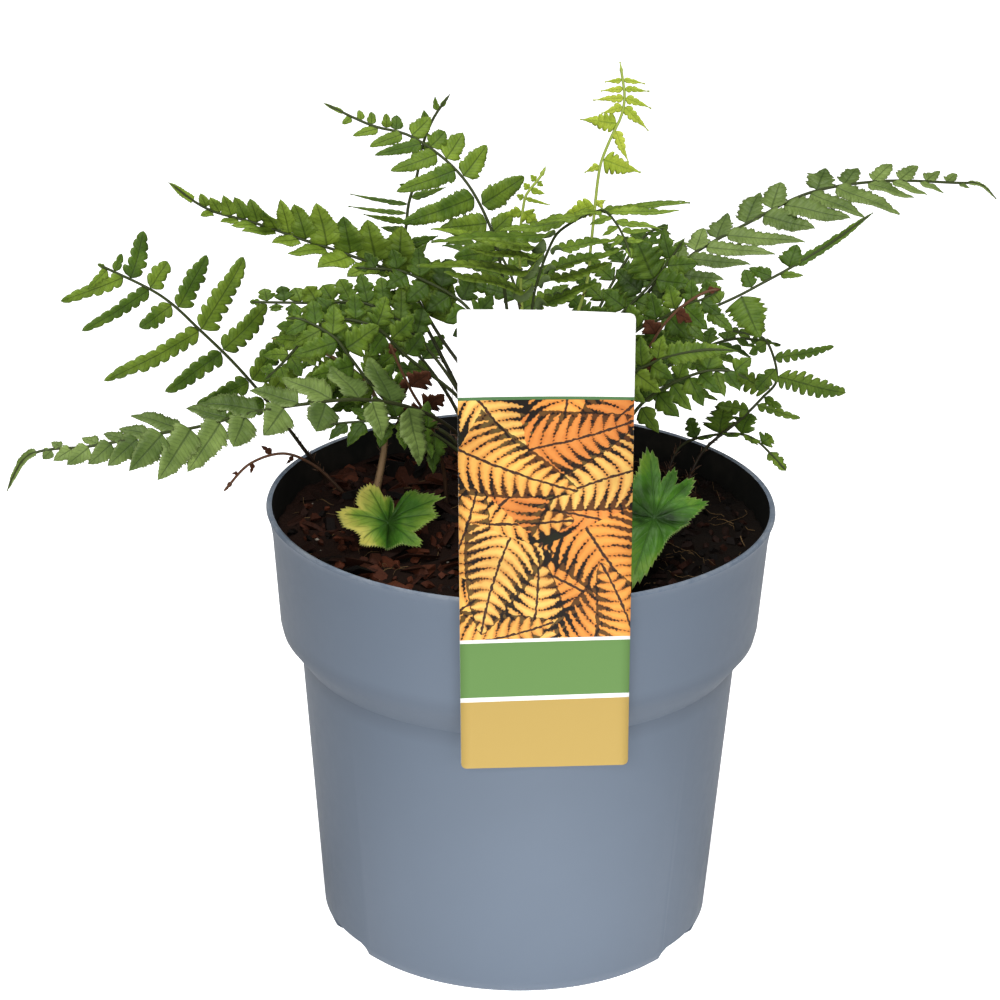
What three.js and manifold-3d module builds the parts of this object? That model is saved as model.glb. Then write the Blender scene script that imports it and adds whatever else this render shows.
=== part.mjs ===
// A wood fern growing in a round nursery pot, with its plant label.
// Millimetres, +Z up, origin on the pot's axis at the surface that it stands on; -Y is the label's side.
import * as THREE from 'three';
import { mergeVertices } from 'three/addons/utils/BufferGeometryUtils.js';
import Module from 'manifold-3d';

const wasm = await Module();
wasm.setup();

// Driving dimensions of the pot
const POT_HEIGHT = 169.5;
const LIP_RADIUS = 95;
const LIP_WIDTH = 2.1;
const LIP_DEPTH = 11;
const COLLAR_TOP_RADIUS = 92.7;
const COLLAR_FOOT_RADIUS = 90;
const COLLAR_FOOT_HEIGHT = 124;
const SHOULDER_HEIGHT = 111;
const SHOULDER_RADIUS = 82;
const BODY_FOOT_RADIUS = 73.6;
const FOOT_RADIUS = 68;
const FOOT_CORNER = 6;
const WALL = 1.3;
const FLOOR_RISE = 3;
const FLOOR_RADIUS = 58.5;
const POT_SIDES = 32;

// Notches in the foot, at the sides of the front and at the back
const NOTCH_AZIMUTHS = [90, 210, 330];
const NOTCH_WIDTH = 26;
const NOTCH_HEIGHT = 6.5;
const NOTCH_CORNER = 3;
const NOTCH_INNER_RADIUS = 56;
const NOTCH_OUTER_RADIUS = 80;
const DRAIN_AZIMUTHS = [30, 150, 270];
const DRAIN_RADIUS = 5;
const DRAIN_CIRCLE = 36;
const DRAIN_SIDES = 8;

// What lies in the pot
const GAP = 0.3;
const HOLE_ROOM = GAP / 0.55;
const SOIL_EDGE_HEIGHT = 157.5;
const SOIL_MOUND = 3.5;
const SOIL_LUMPS = 0.9;
const SOIL_RADIUS = COLLAR_TOP_RADIUS - WALL - GAP - 0.1;
const CHIPS = 12;
const CHIP_CIRCLE = 78;
const STIPE_SINK = 12;
const CROWN_CENTRE = new THREE.Vector3(0, 8, 0);
const CROWN_RADIUS = 19;
const CROWN_FOOT = 148;
const CROWN_TOP = 171;
const CROWN_SIDES = 10;
const CROWN_FLUTES = 0.06;

// Stubs of old stipes on the crown
const STUB_AZIMUTHS = [-62, -105, 107];
const STUB_LEAN = 12;
const STUB_LENGTH = 12;
const STUB_FOOT_RADIUS = 2;
const STUB_TOP_RADIUS = 1.3;

// The printed card
const CARD_WIDTH = 60;
const CARD_HEIGHT = 180.6;
const CARD_THICKNESS = 0.7;
const CARD_FOOT_HEIGHT = 102.3;
const CARD_LEAN = 6.2;
const CARD_AZIMUTH = 5.1;
const CARD_SKEW = 1.5;
const CARD_TWIST = 6.5;
const CARD_HOLLOW = 1.6;
const STRAP_WIDTH = 14;

// Leaflets
const BLADE_THICKNESS = 0.62;
const OWN_ROOT = 2.4;
const RAD = Math.PI / 180;

const COLOURS = {
  pot: 0x7c8a98, soil: 0x2e1d14, card: 0xf4f4f2, crown: 0x4a2c17,
  leaf: 0x4c8a2b, fresh: 0xa6bf3c, dead: 0x5a3018,
};

// A repeatable series of numbers from 0 to 1
function series(seed) {
  let state = seed;
  return () => {
    state = (Math.imul(state, 1664525) + 1013904223) >>> 0;
    return state / 4294967296;
  };
}

function solidOf(geometry) {
  const bare = geometry.clone();
  bare.deleteAttribute('normal');
  bare.deleteAttribute('uv');
  const merged = mergeVertices(bare, 1e-4);
  return new wasm.Manifold(new wasm.Mesh({
    numProp: 3,
    vertProperties: new Float32Array(merged.attributes.position.array),
    triVerts: new Uint32Array(merged.index.array),
  }));
}

function geometryOf(solid) {
  const mesh = solid.getMesh();
  const geometry = new THREE.BufferGeometry();
  geometry.setAttribute('position', new THREE.BufferAttribute(mesh.vertProperties, 3));
  geometry.setIndex(new THREE.BufferAttribute(mesh.triVerts, 1));
  geometry.computeVertexNormals();
  return geometry;
}

const plant = new THREE.Group();

function show(name, geometry, colour, roughness) {
  const material = new THREE.MeshStandardMaterial({ color: colour, roughness, metalness: 0 });
  const mesh = new THREE.Mesh(geometry, material);
  mesh.name = name;
  plant.add(mesh);
}

// A turned body: the profile's points are [radius, height], from the axis and back to it
function turned(profile, sides) {
  const points = profile.map(([radius, height]) => new THREE.Vector2(radius, height));
  return new THREE.LatheGeometry(points, sides).rotateX(Math.PI / 2);
}

// A block that points outward from the axis, with its cross-section drawn across that direction
function radialBlock(section, innerRadius, outerRadius, azimuth) {
  const shape = new THREE.Shape(section.map(([across, height]) => new THREE.Vector2(across, height)));
  const block = new THREE.ExtrudeGeometry(shape, { depth: outerRadius - innerRadius, bevelEnabled: false });
  return block.rotateX(Math.PI / 2).rotateZ(Math.PI).translate(0, innerRadius, 0)
    .rotateZ((azimuth - 90) * RAD);
}

// The pot
const potOuter = [
  [0, FLOOR_RISE], [FLOOR_RADIUS, FLOOR_RISE], [FLOOR_RADIUS + 1.5, 0], [FOOT_RADIUS, 0],
  [FOOT_RADIUS + 3.5, 1.6], [BODY_FOOT_RADIUS, FOOT_CORNER], [SHOULDER_RADIUS, SHOULDER_HEIGHT],
  [COLLAR_FOOT_RADIUS - 0.8, COLLAR_FOOT_HEIGHT - 3.5], [COLLAR_FOOT_RADIUS, COLLAR_FOOT_HEIGHT],
  [COLLAR_TOP_RADIUS, POT_HEIGHT - LIP_DEPTH], [LIP_RADIUS - 0.5, POT_HEIGHT - LIP_DEPTH / 2],
  [LIP_RADIUS, POT_HEIGHT - 1.5], [LIP_RADIUS - 0.8, POT_HEIGHT],
];
const potInner = [
  [LIP_RADIUS - LIP_WIDTH, POT_HEIGHT], [COLLAR_TOP_RADIUS - WALL, POT_HEIGHT - LIP_DEPTH],
  [COLLAR_FOOT_RADIUS - WALL, COLLAR_FOOT_HEIGHT + 0.5],
  [COLLAR_FOOT_RADIUS - 0.8 - WALL, COLLAR_FOOT_HEIGHT - 2.8],
  [SHOULDER_RADIUS - WALL, SHOULDER_HEIGHT + 0.6], [BODY_FOOT_RADIUS - WALL, FOOT_CORNER + 0.5],
  [FOOT_RADIUS, WALL + 0.2], [FLOOR_RADIUS + 2, WALL + 0.2], [FLOOR_RADIUS, FLOOR_RISE + WALL],
  [0, FLOOR_RISE + WALL],
];

function notchSection(margin) {
  const half = NOTCH_WIDTH / 2 + margin;
  const top = NOTCH_HEIGHT + margin;
  const shoulder = half - NOTCH_CORNER;
  const springing = top - NOTCH_CORNER;
  return [
    [-half, -1], [half, -1], [half, springing], [shoulder, top], [-shoulder, top], [-half, springing],
  ];
}

// Walls of the notches, which stand up inside the pot
function notchHoods(margin) {
  const hoods = NOTCH_AZIMUTHS.map((azimuth) => solidOf(
    radialBlock(
      notchSection(WALL + margin), NOTCH_INNER_RADIUS - WALL - margin, NOTCH_OUTER_RADIUS, azimuth,
    ),
  ));
  return wasm.Manifold.union(hoods);
}

function potSolid() {
  const outside = solidOf(turned([...potOuter, [0, POT_HEIGHT]], POT_SIDES));
  let pot = solidOf(turned([...potOuter, ...potInner], POT_SIDES));
  pot = pot.add(notchHoods(0).intersect(outside));
  for (const azimuth of NOTCH_AZIMUTHS) {
    const notch = radialBlock(notchSection(0), NOTCH_INNER_RADIUS, NOTCH_OUTER_RADIUS, azimuth);
    pot = pot.subtract(solidOf(notch));
  }
  const drain = new THREE.CylinderGeometry(DRAIN_RADIUS, DRAIN_RADIUS, 4 * FLOOR_RISE, DRAIN_SIDES)
    .rotateX(Math.PI / 2);
  pot = pot.subtract(solidOf(drain));
  for (const azimuth of DRAIN_AZIMUTHS) {
    const hole = drain.clone().translate(DRAIN_CIRCLE, 0, 0).rotateZ(azimuth * RAD);
    pot = pot.subtract(solidOf(hole));
  }
  return pot;
}

// The crown: a squat mound with flutes round it. "margin" makes it larger all round
function crownGeometry(margin) {
  const height = CROWN_TOP - CROWN_FOOT;
  const rows = [[0, 0], [0.8, 0], [1, 0.5], [0.78, 0.85], [0.45, 1], [0, 0.97]];
  const profile = rows.map(([wide, high]) => [
    wide ? CROWN_RADIUS * wide + margin : 0,
    CROWN_FOOT + height * high + (high > 0.9 ? margin : high ? 0 : -margin),
  ]);
  const geometry = turned(profile, CROWN_SIDES);
  const position = geometry.attributes.position;
  for (let index = 0; index < position.count; index += 1) {
    const angle = Math.atan2(position.getY(index), position.getX(index));
    const row = Math.round(position.getZ(index));
    const scale = 1 + CROWN_FLUTES * Math.cos(angle * CROWN_SIDES / 2 + row);
    position.setX(index, position.getX(index) * scale);
    position.setY(index, position.getY(index) * scale);
  }
  return geometry.translate(CROWN_CENTRE.x, CROWN_CENTRE.y, 0);
}

function crownSolid() {
  let crown = solidOf(crownGeometry(0));
  for (const azimuth of STUB_AZIMUTHS) {
    const stub = new THREE.CylinderGeometry(STUB_TOP_RADIUS, STUB_FOOT_RADIUS, STUB_LENGTH, 5)
      .rotateX(Math.PI / 2).rotateY(STUB_LEAN * RAD)
      .translate(CROWN_RADIUS * 0.72, 0, CROWN_TOP - STUB_LENGTH / 4).rotateZ(azimuth * RAD)
      .translate(CROWN_CENTRE.x, CROWN_CENTRE.y, 0);
    crown = crown.add(solidOf(stub));
  }
  return crown;
}

// The soil: it fills the pot, its top is mounded and lumpy, and bark chips lie sunk in it
const moundHeight = (radius) => SOIL_EDGE_HEIGHT + SOIL_MOUND * (1 - (radius / SOIL_RADIUS) ** 2);

function soilGeometry() {
  const topRings = [0.84, 0.6, 0.34];
  const profile = [
    [0, FLOOR_RISE + WALL + GAP], [FOOT_RADIUS + 2, FLOOR_RISE + WALL + GAP],
    [BODY_FOOT_RADIUS - WALL - GAP, FOOT_CORNER + 2],
    [SHOULDER_RADIUS - WALL - GAP, SHOULDER_HEIGHT + 0.4],
    [COLLAR_FOOT_RADIUS - WALL - GAP, COLLAR_FOOT_HEIGHT + 0.6],
    [SOIL_RADIUS, SOIL_EDGE_HEIGHT],
    ...topRings.map((ring) => [SOIL_RADIUS * ring, moundHeight(SOIL_RADIUS * ring)]),
    [0, moundHeight(0)],
  ];
  const geometry = turned(profile, POT_SIDES);
  const position = geometry.attributes.position;
  for (let index = 0; index < position.count; index += 1) {
    const [x, y, z] = [position.getX(index), position.getY(index), position.getZ(index)];
    if (z > SOIL_EDGE_HEIGHT - 1) {
      const lumps = Math.sin(x * 0.21 + 1) * Math.cos(y * 0.17) + 0.6 * Math.sin(x * 0.43 - y * 0.51);
      position.setZ(index, z + SOIL_LUMPS * lumps);
    }
  }
  return geometry;
}

function barkChip(random) {
  const sides = 5;
  const long = 5 + 6 * random();
  const wide = long * (0.45 + 0.3 * random());
  const corners = [];
  for (let index = 0; index < sides; index += 1) {
    const angle = (index + 0.4 * random()) / sides * 2 * Math.PI;
    corners.push(new THREE.Vector2(long * Math.cos(angle), wide * Math.sin(angle)));
  }
  const chip = new THREE.ExtrudeGeometry(new THREE.Shape(corners), {
    depth: 2.5 + 1.5 * random(), bevelEnabled: false,
  });
  return chip.rotateX((random() - 0.5) * 0.8).rotateY((random() - 0.5) * 0.6)
    .rotateZ(random() * 2 * Math.PI);
}

function withChips(soil) {
  const random = series(5);
  const goldenAngle = 137.5;
  let chipped = soil;
  for (let index = 0; index < CHIPS; index += 1) {
    const azimuth = (index * goldenAngle + 20 * random()) * RAD;
    const radius = CHIP_CIRCLE * Math.sqrt(0.12 + 0.88 * (index + random()) / CHIPS);
    const chip = barkChip(random).translate(
      radius * Math.cos(azimuth), radius * Math.sin(azimuth), moundHeight(radius) - 1.2,
    );
    chipped = chipped.add(solidOf(chip));
  }
  return chipped;
}

// The card: a thin sheet, hollow towards the viewer at its top, with its hanging strap behind
function cardPlace(across, along, depth) {
  const hollow = CARD_HOLLOW * (2 * across / CARD_WIDTH) ** 2 * (along / CARD_HEIGHT) ** 2;
  const twist = -CARD_TWIST * along / CARD_HEIGHT * RAD;
  const lean = CARD_LEAN * RAD;
  const rimAlong = (POT_HEIGHT - CARD_FOOT_HEIGHT) / Math.cos(lean);
  const out = LIP_RADIUS + GAP + 0.5 + (along - rimAlong) * Math.sin(lean);
  const skew = CARD_SKEW * RAD;
  return new THREE.Vector3(
    across * Math.cos(twist) - (along - rimAlong) * Math.sin(skew),
    -out - depth - hollow + across * Math.sin(twist),
    CARD_FOOT_HEIGHT + along * Math.cos(lean),
  );
}

function cardGeometry() {
  const sheet = new THREE.BoxGeometry(CARD_WIDTH, CARD_HEIGHT, CARD_THICKNESS, 4, 6, 1);
  const position = sheet.attributes.position;
  for (let index = 0; index < position.count; index += 1) {
    const along = position.getY(index) + CARD_HEIGHT / 2;
    const depth = position.getZ(index) + CARD_THICKNESS / 2;
    const place = cardPlace(position.getX(index), along, depth);
    position.setXYZ(index, place.x, place.y, place.z);
  }
  return sheet;
}

function strapGeometry() {
  const thick = CARD_THICKNESS;
  const over = POT_HEIGHT + 1.2;
  const rimOut = cardPlace(0, (over - CARD_FOOT_HEIGHT) / Math.cos(CARD_LEAN * RAD), 0).y;
  const inside = -(LIP_RADIUS - LIP_WIDTH - 1.6);
  const hook = [
    [rimOut + 0.2, over + thick + 8], [rimOut - 0.4, over + thick + 8], [rimOut - 0.4, over],
    [inside - 0.1, over - 0.6], [inside, over - 1.6], [inside + 1.6, SOIL_EDGE_HEIGHT + 2.5],
    [inside + 1.6 + thick, SOIL_EDGE_HEIGHT + 2.5], [inside + thick, over], [inside - 0.1, over + thick],
    [rimOut + 0.6, over + thick],
  ];
  const shape = new THREE.Shape(hook.map(([depth, height]) => new THREE.Vector2(depth, height)));
  return new THREE.ExtrudeGeometry(shape, { depth: STRAP_WIDTH, bevelEnabled: false })
    .rotateX(Math.PI / 2).rotateZ(Math.PI / 2).translate(-STRAP_WIDTH / 2, 0, 0);
}

function labelSolid() {
  const card = cardGeometry().rotateZ(CARD_AZIMUTH * RAD);
  const strap = strapGeometry().rotateZ(CARD_AZIMUTH * RAD);
  return solidOf(card).add(solidOf(strap));
}

// A closed skin that is stitched up from shared points
class Skin {
  constructor() {
    this.points = [];
    this.faces = [];
  }

  add(point) {
    this.points.push(point.x, point.y, point.z);
    return this.points.length / 3 - 1;
  }

  // A triangle; one whose corners fall together is left out
  tri(a, b, c) {
    if (a !== b && b !== c && c !== a) this.faces.push(a, b, c);
  }

  quad(a, b, c, d) {
    this.tri(a, b, c);
    this.tri(a, c, d);
  }

  geometry() {
    const geometry = new THREE.BufferGeometry();
    geometry.setAttribute('position', new THREE.BufferAttribute(new Float32Array(this.points), 3));
    geometry.setIndex(this.faces);
    geometry.computeVertexNormals();
    return geometry;
  }

  // A thin blade on a root of four points; each station is a cross-line of the blade
  blade(root, stations, tip) {
    let last = root;
    for (const { first, second, normal, half } of stations) {
      const up = normal.clone().multiplyScalar(half);
      const next = {
        firstTop: this.add(first.clone().add(up)),
        firstFoot: this.add(first.clone().sub(up)),
        secondTop: this.add(second.clone().add(up)),
        secondFoot: this.add(second.clone().sub(up)),
      };
      this.tri(last.firstTop, last.secondTop, next.secondTop);
      this.tri(last.firstTop, next.secondTop, next.firstTop);
      this.tri(last.firstFoot, next.secondFoot, last.secondFoot);
      this.tri(last.firstFoot, next.firstFoot, next.secondFoot);
      this.quad(last.secondTop, last.secondFoot, next.secondFoot, next.secondTop);
      this.quad(last.firstFoot, last.firstTop, next.firstTop, next.firstFoot);
      last = next;
    }
    const up = tip.normal.clone().multiplyScalar(tip.half);
    const top = this.add(tip.point.clone().add(up));
    const foot = this.add(tip.point.clone().sub(up));
    this.tri(last.firstTop, last.secondTop, top);
    this.tri(last.secondFoot, last.firstFoot, foot);
    this.quad(last.secondTop, last.secondFoot, foot, top);
    this.quad(last.firstFoot, last.firstTop, top, foot);
  }
}

// How a leaflet's half width changes along it, from 0 at its root to 1 at its tip
function leafletOutline(along, blunt) {
  return (1 - along ** blunt) ** 0.9;
}

const CUTS = {
  1: [[0.42, 1]],
  3: [[0.2, 1], [0.42, 0], [0.62, 1]],
  5: [[0.14, 1], [0.28, 0], [0.43, 1], [0.57, 0], [0.72, 1]],
};

// The cross-lines of one leaflet. It leaves the midrib at "root" along "way", with "up" its upper side
function leafletLines(
  { root, way, up, forward, length, width, blunt, notch, sag, curl, twist, light, turn, grow },
) {
  const stationCount = length > 24 ? 5 : length > 11 ? 3 : 1;
  const lit = light.clone().addScaledVector(way, -light.dot(way)).normalize();
  const half = BLADE_THICKNESS / 2 + grow;
  const place = (along) => root.clone()
    .addScaledVector(way, length * along)
    .addScaledVector(forward, curl * length * along * along)
    .add(new THREE.Vector3(0, 0, -sag * length * along * along));
  const turnedUp = (along) => up.clone().lerp(lit, turn * Math.min(1, along * 6)).normalize()
    .applyAxisAngle(way, twist * along);
  const stations = CUTS[stationCount].map(([along, wide]) => {
    const normal = turnedUp(along);
    const across = new THREE.Vector3().crossVectors(way, normal);
    const reach = width / 2 * leafletOutline(along, blunt) * (wide ? 1 : notch) + grow;
    const middle = place(along);
    return {
      first: middle.clone().addScaledVector(across, -reach),
      second: middle.clone().addScaledVector(across, reach),
      normal,
      half,
    };
  });
  return { stations, tip: { point: place(1).addScaledVector(way, grow), normal: turnedUp(1), half } };
}

// Pieces that later leaflets keep clear of
const neighbours = [];

function keepClearOf(solid, owner) {
  neighbours.push({ solid, owner, box: solid.boundingBox() });
}

function boxesMeet(a, b) {
  return [0, 1, 2].every((axis) => a.min[axis] < b.max[axis] && b.min[axis] < a.max[axis]);
}

function isClear(solid, owner) {
  const box = solid.boundingBox();
  return neighbours.every((other) => (
    other.owner === owner || !boxesMeet(box, other.box) || solid.intersect(other.solid).isEmpty()
  ));
}

// Ways to bend a leaflet that would cross something: turn its pitch, then shorten it
const BENDS = [];
for (const scale of [1, 0.8, 0.62, 0.45]) {
  for (const pitch of [0, 12, -12, 24, -24, 38, -38]) {
    BENDS.push({ scale, pitch: pitch * RAD });
  }
}

// The midrib's cross-section frame at a place along the spine
function spineFrame(spine, share, faces) {
  const centre = spine.getPointAt(share);
  const ahead = spine.getTangentAt(share);
  const hint = faces[0].clone().lerp(faces[1], share);
  const up = hint.addScaledVector(ahead, -hint.dot(ahead)).normalize();
  return { centre, ahead, up, left: new THREE.Vector3().crossVectors(up, ahead) };
}

function ring(skin, { centre, up, left }, half) {
  const corner = (side, rise) => skin.add(
    centre.clone().addScaledVector(left, side * half).addScaledVector(up, rise * half),
  );
  return { left: corner(1, 0.6), right: corner(-1, 0.6), keel: corner(0, -1.1) };
}

function startCap(skin, start) {
  skin.tri(start.left, start.keel, start.right);
}

function endCap(skin, end) {
  skin.tri(end.left, end.right, end.keel);
}

function tubeSection(skin, from, to, openLeft, openRight) {
  skin.quad(from.left, from.right, to.right, to.left);
  if (!openRight) skin.quad(from.right, from.keel, to.keel, to.right);
  if (!openLeft) skin.quad(from.keel, from.left, to.left, to.keel);
}

// What a frond is like. "bare" is the share of its length below the leaflets, "reach" the longest
// leaflet's length, "slim" a leaflet's width by its length, "notch" how wide it is between its lobes,
// "blunt" how late it narrows, "angle" its lean from the midrib in degrees, "lift" its rise on the left
// and the right side, "sag" its droop by its length, "thick" and "thin" the midrib's half widths at foot
// and tip, "end" the length of the toothed tip, and "turn" how far its face turns to "light". "own" sets
// leaflets one by one: [share of the route, side, length, width, lean from the midrib in degrees]
const TRAITS = {
  ground: 'crown', faces: [[0, -0.6, 0.8], [0, -0.6, 0.8]], bare: 0.4, leaflets: 18, reach: 20,
  slim: 0.42, notch: 0.72, blunt: 1.9, angle: 66, lift: [0, 0],
  sag: 0.12, curl: 0.08, light: [0, 0, 1], turn: 0, thick: 1.1, thin: 0.42, end: 12,
  fullest: 0.3, lowest: 0.75, tipReach: 0.16, own: null, colour: 'leaf',
};

// How long the leaflets are along the leafy part, from its foot at 0 to its end at 1
function leafletReach(along, { fullest, lowest, tipReach }) {
  if (along < fullest) {
    return lowest + (1 - lowest) * Math.sin(along / fullest * Math.PI / 2);
  }
  return 1 - (1 - tipReach) * ((along - fullest) / (1 - fullest)) ** 1.15;
}

const spineOf = (points) => new THREE.CatmullRomCurve3(
  points.map((point) => new THREE.Vector3(...point)), false, 'centripetal',
);

const holes = { crown: [], soil: [] };

// The stipe's foot goes straight down into its own plain hole
function stipeFoot(skin, frame, half, ground) {
  const down = (depth) => ({ ...frame, centre: frame.centre.clone().add(new THREE.Vector3(0, 0, -depth)) });
  const hole = new Skin();
  const holeFoot = ring(hole, down(STIPE_SINK + GAP), half + HOLE_ROOM);
  const holeTop = ring(hole, down(-5), half + HOLE_ROOM);
  startCap(hole, holeFoot);
  tubeSection(hole, holeFoot, holeTop, false, false);
  endCap(hole, holeTop);
  holes[ground].push(solidOf(hole.geometry()));
  return ring(skin, down(STIPE_SINK), half);
}

// Where the leaflets sit: their root's start and end along the spine, and their side
function leafletPlaces(length, traits) {
  if (traits.own) {
    const half = OWN_ROOT / 2 / length;
    return traits.own.map(([share, side, ...size]) => (
      { along: share, start: share - half, end: share + half, side, size }
    ));
  }
  const places = [];
  const leafy = 1 - traits.bare - traits.end / length;
  for (let index = 0; index < traits.leaflets; index += 1) {
    const along = 1 - (1 - index / traits.leaflets) ** 1.2;
    const next = 1 - (1 - (index + 1) / traits.leaflets) ** 1.2;
    const start = traits.bare + leafy * along;
    const room = leafy * (next - along);
    const root = room * length < 5 ? room : 3 / length;
    places.push({ along, start, end: start + root, side: index % 2, spacing: 2 * room * length });
  }
  return places;
}

// One frond: a stipe and midrib, with cut leaflets on both sides by turns and a toothed tip
function frond(name, points, ownTraits) {
  const traits = { ...TRAITS, ...ownTraits };
  const spine = spineOf(points);
  const length = spine.getLength();
  const faces = traits.faces.map((face) => new THREE.Vector3(...face));
  const halfAt = (share) => traits.thick + (traits.thin - traits.thick) * Math.min(1, share * 1.1);
  const places = leafletPlaces(length, traits);
  const random = series(name.length * 977 + points.length);
  return { name, traits, spine, length, faces, halfAt, places, random };
}

function bareShares(plan) {
  const steps = Math.max(2, Math.round(plan.traits.bare * plan.length / 20));
  return Array.from({ length: steps }, (_, index) => plan.traits.bare * index / steps);
}

// The bare midrib of a frond, which the leaflets of all fronds keep clear of
function midribSolid(plan) {
  const skin = new Skin();
  const shares = [0, 0.04];
  for (let share = 0.08; share < 0.999; share += 0.04) shares.push(share);
  shares.push(1);
  const rings = shares.map((share) => ring(
    skin, spineFrame(plan.spine, share, plan.faces), plan.halfAt(share) + 0.1,
  ));
  startCap(skin, rings[0]);
  for (let index = 1; index < rings.length; index += 1) {
    tubeSection(skin, rings[index - 1], rings[index], false, false);
  }
  endCap(skin, rings.at(-1));
  return solidOf(skin.geometry());
}

function leafletDraw(plan, { along, start, end, side, spacing, size }) {
  const { traits, random } = plan;
  const frame = spineFrame(plan.spine, (start + end) / 2, plan.faces);
  const sign = side === 0 ? 1 : -1;
  const half = plan.halfAt((start + end) / 2);
  if (size) {
    const [length, width, angle] = size;
    return {
      frame, sign, length, width, half, angle: angle * RAD, lift: traits.lift[side] * RAD,
      twist: 14 * (random() - 0.5) * RAD, sag: traits.sag,
    };
  }
  const shape = leafletReach(along, traits);
  const length = traits.reach * shape * (0.92 + 0.16 * random());
  const width = Math.min(length * traits.slim * (0.7 + 0.3 / shape), spacing * 0.86);
  return {
    frame, sign, length, width,
    angle: (traits.angle - 14 * along + 8 * (random() - 0.5)) * RAD,
    lift: (traits.lift[side] + 10 * (random() - 0.5)) * RAD,
    twist: 14 * (random() - 0.5) * RAD,
    sag: traits.sag * (0.7 + 0.6 * random()),
    half,
  };
}

function leafletWays(draw, pitch) {
  const { frame, sign, angle } = draw;
  const lift = draw.lift + pitch;
  const sideways = frame.left.clone().multiplyScalar(sign);
  const out = sideways.clone().multiplyScalar(Math.cos(lift)).addScaledVector(frame.up, Math.sin(lift));
  const way = frame.ahead.clone().multiplyScalar(Math.cos(angle)).addScaledVector(out, Math.sin(angle));
  const up = frame.up.clone().multiplyScalar(Math.cos(lift)).addScaledVector(sideways, -Math.sin(lift));
  return { way, up };
}

function leafletAt(plan, draw, bend, grow) {
  const { traits } = plan;
  const { way, up } = leafletWays(draw, bend.pitch);
  const root = draw.frame.centre.clone().addScaledVector(draw.frame.left, draw.sign * draw.half);
  return leafletLines({
    root, way, up, forward: draw.frame.ahead, length: draw.length * bend.scale,
    width: draw.width * Math.sqrt(bend.scale), blunt: traits.blunt, notch: traits.notch,
    sag: draw.sag, curl: traits.curl, twist: draw.twist, grow,
    light: new THREE.Vector3(...traits.light), turn: traits.turn,
  });
}

// The leaflet as a solid of its own, a little larger, to test whether it has room
function testSolid(plan, draw, bend) {
  const { stations, tip } = leafletAt(plan, draw, bend, GAP);
  const skin = new Skin();
  const { way, up } = leafletWays(draw, bend.pitch);
  const across = new THREE.Vector3().crossVectors(way, up).multiplyScalar(1.2);
  const start = draw.frame.centre.clone()
    .addScaledVector(draw.frame.left, draw.sign * (draw.half + 0.4));
  const thick = up.clone().multiplyScalar(draw.half);
  const root = {
    firstTop: skin.add(start.clone().sub(across).add(thick)),
    firstFoot: skin.add(start.clone().sub(across).sub(thick)),
    secondTop: skin.add(start.clone().add(across).add(thick)),
    secondFoot: skin.add(start.clone().add(across).sub(thick)),
  };
  skin.quad(root.firstTop, root.firstFoot, root.secondFoot, root.secondTop);
  skin.blade(root, stations, tip);
  return solidOf(skin.geometry());
}

// The first bend of a leaflet that has room, or nothing
function freeBend(plan, draw) {
  for (const bend of BENDS) {
    const solid = testSolid(plan, draw, bend);
    if (isClear(solid, plan.name)) {
      keepClearOf(solid, `${plan.name} leaflet`);
      return bend;
    }
  }
  return null;
}

// Leaflets that leave the midrib at the same place, a single one or an opposite pair
function sections(places) {
  const groups = [];
  for (const place of places) {
    if (groups.at(-1)?.[0].start === place.start) groups.at(-1).push(place);
    else groups.push([place]);
  }
  return groups;
}

function growFrond(plan) {
  const { traits } = plan;
  const skin = new Skin();
  const frameAt = (share) => spineFrame(plan.spine, share, plan.faces);
  const first = frameAt(0);
  let last = stipeFoot(skin, first, plan.halfAt(0), traits.ground);
  startCap(skin, last);
  for (const share of bareShares(plan)) {
    const next = ring(skin, frameAt(share), plan.halfAt(share));
    tubeSection(skin, last, next, false, false);
    last = next;
  }
  let lastShare = 0;
  for (const spots of sections(plan.places)) {
    const { start, end } = spots[0];
    let from = last;
    if (start - lastShare > 1e-6) {
      from = ring(skin, frameAt(start), plan.halfAt(start));
      tubeSection(skin, last, from, false, false);
    }
    const to = ring(skin, frameAt(end), plan.halfAt(end));
    const leaflets = spots.map((spot) => {
      const draw = leafletDraw(plan, spot);
      return { side: spot.side, draw, bend: freeBend(plan, draw) };
    }).filter(({ bend }) => bend);
    const opens = (side) => leaflets.some((leaflet) => leaflet.side === side);
    tubeSection(skin, from, to, opens(0), opens(1));
    for (const { side, draw, bend } of leaflets) {
      const { stations, tip } = leafletAt(plan, draw, bend, 0);
      const root = side === 0
        ? { firstTop: from.left, firstFoot: from.keel, secondTop: to.left, secondFoot: to.keel }
        : { firstTop: to.right, firstFoot: to.keel, secondTop: from.right, secondFoot: from.keel };
      skin.blade(root, stations, tip);
    }
    last = to;
    lastShare = end;
  }
  growTip(plan, skin, last);
  show(plan.name, skin.geometry(), COLOURS[traits.colour], 0.6);
}

// The end of a frond, where the leaflets run together into one toothed blade
function growTip(plan, skin, last) {
  const { traits } = plan;
  const start = 1 - traits.end / plan.length;
  const teeth = [[0.16, 1], [0.34, 0.55], [0.54, 0.75], [0.76, 0.3]];
  const stations = teeth.map(([along, wide]) => {
    const { centre, left, up } = spineFrame(plan.spine, start + (1 - start) * along, plan.faces);
    const reach = traits.reach * 0.13 * wide + 0.3;
    return {
      first: centre.clone().addScaledVector(left, reach),
      second: centre.clone().addScaledVector(left, -reach),
      normal: up,
      half: BLADE_THICKNESS / 2,
    };
  });
  const { centre, up } = spineFrame(plan.spine, 1, plan.faces);
  const root = {
    firstTop: last.left, firstFoot: last.keel, secondTop: last.right, secondFoot: last.keel,
  };
  skin.blade(root, stations, { point: centre, normal: up, half: BLADE_THICKNESS / 2 });
}

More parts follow.
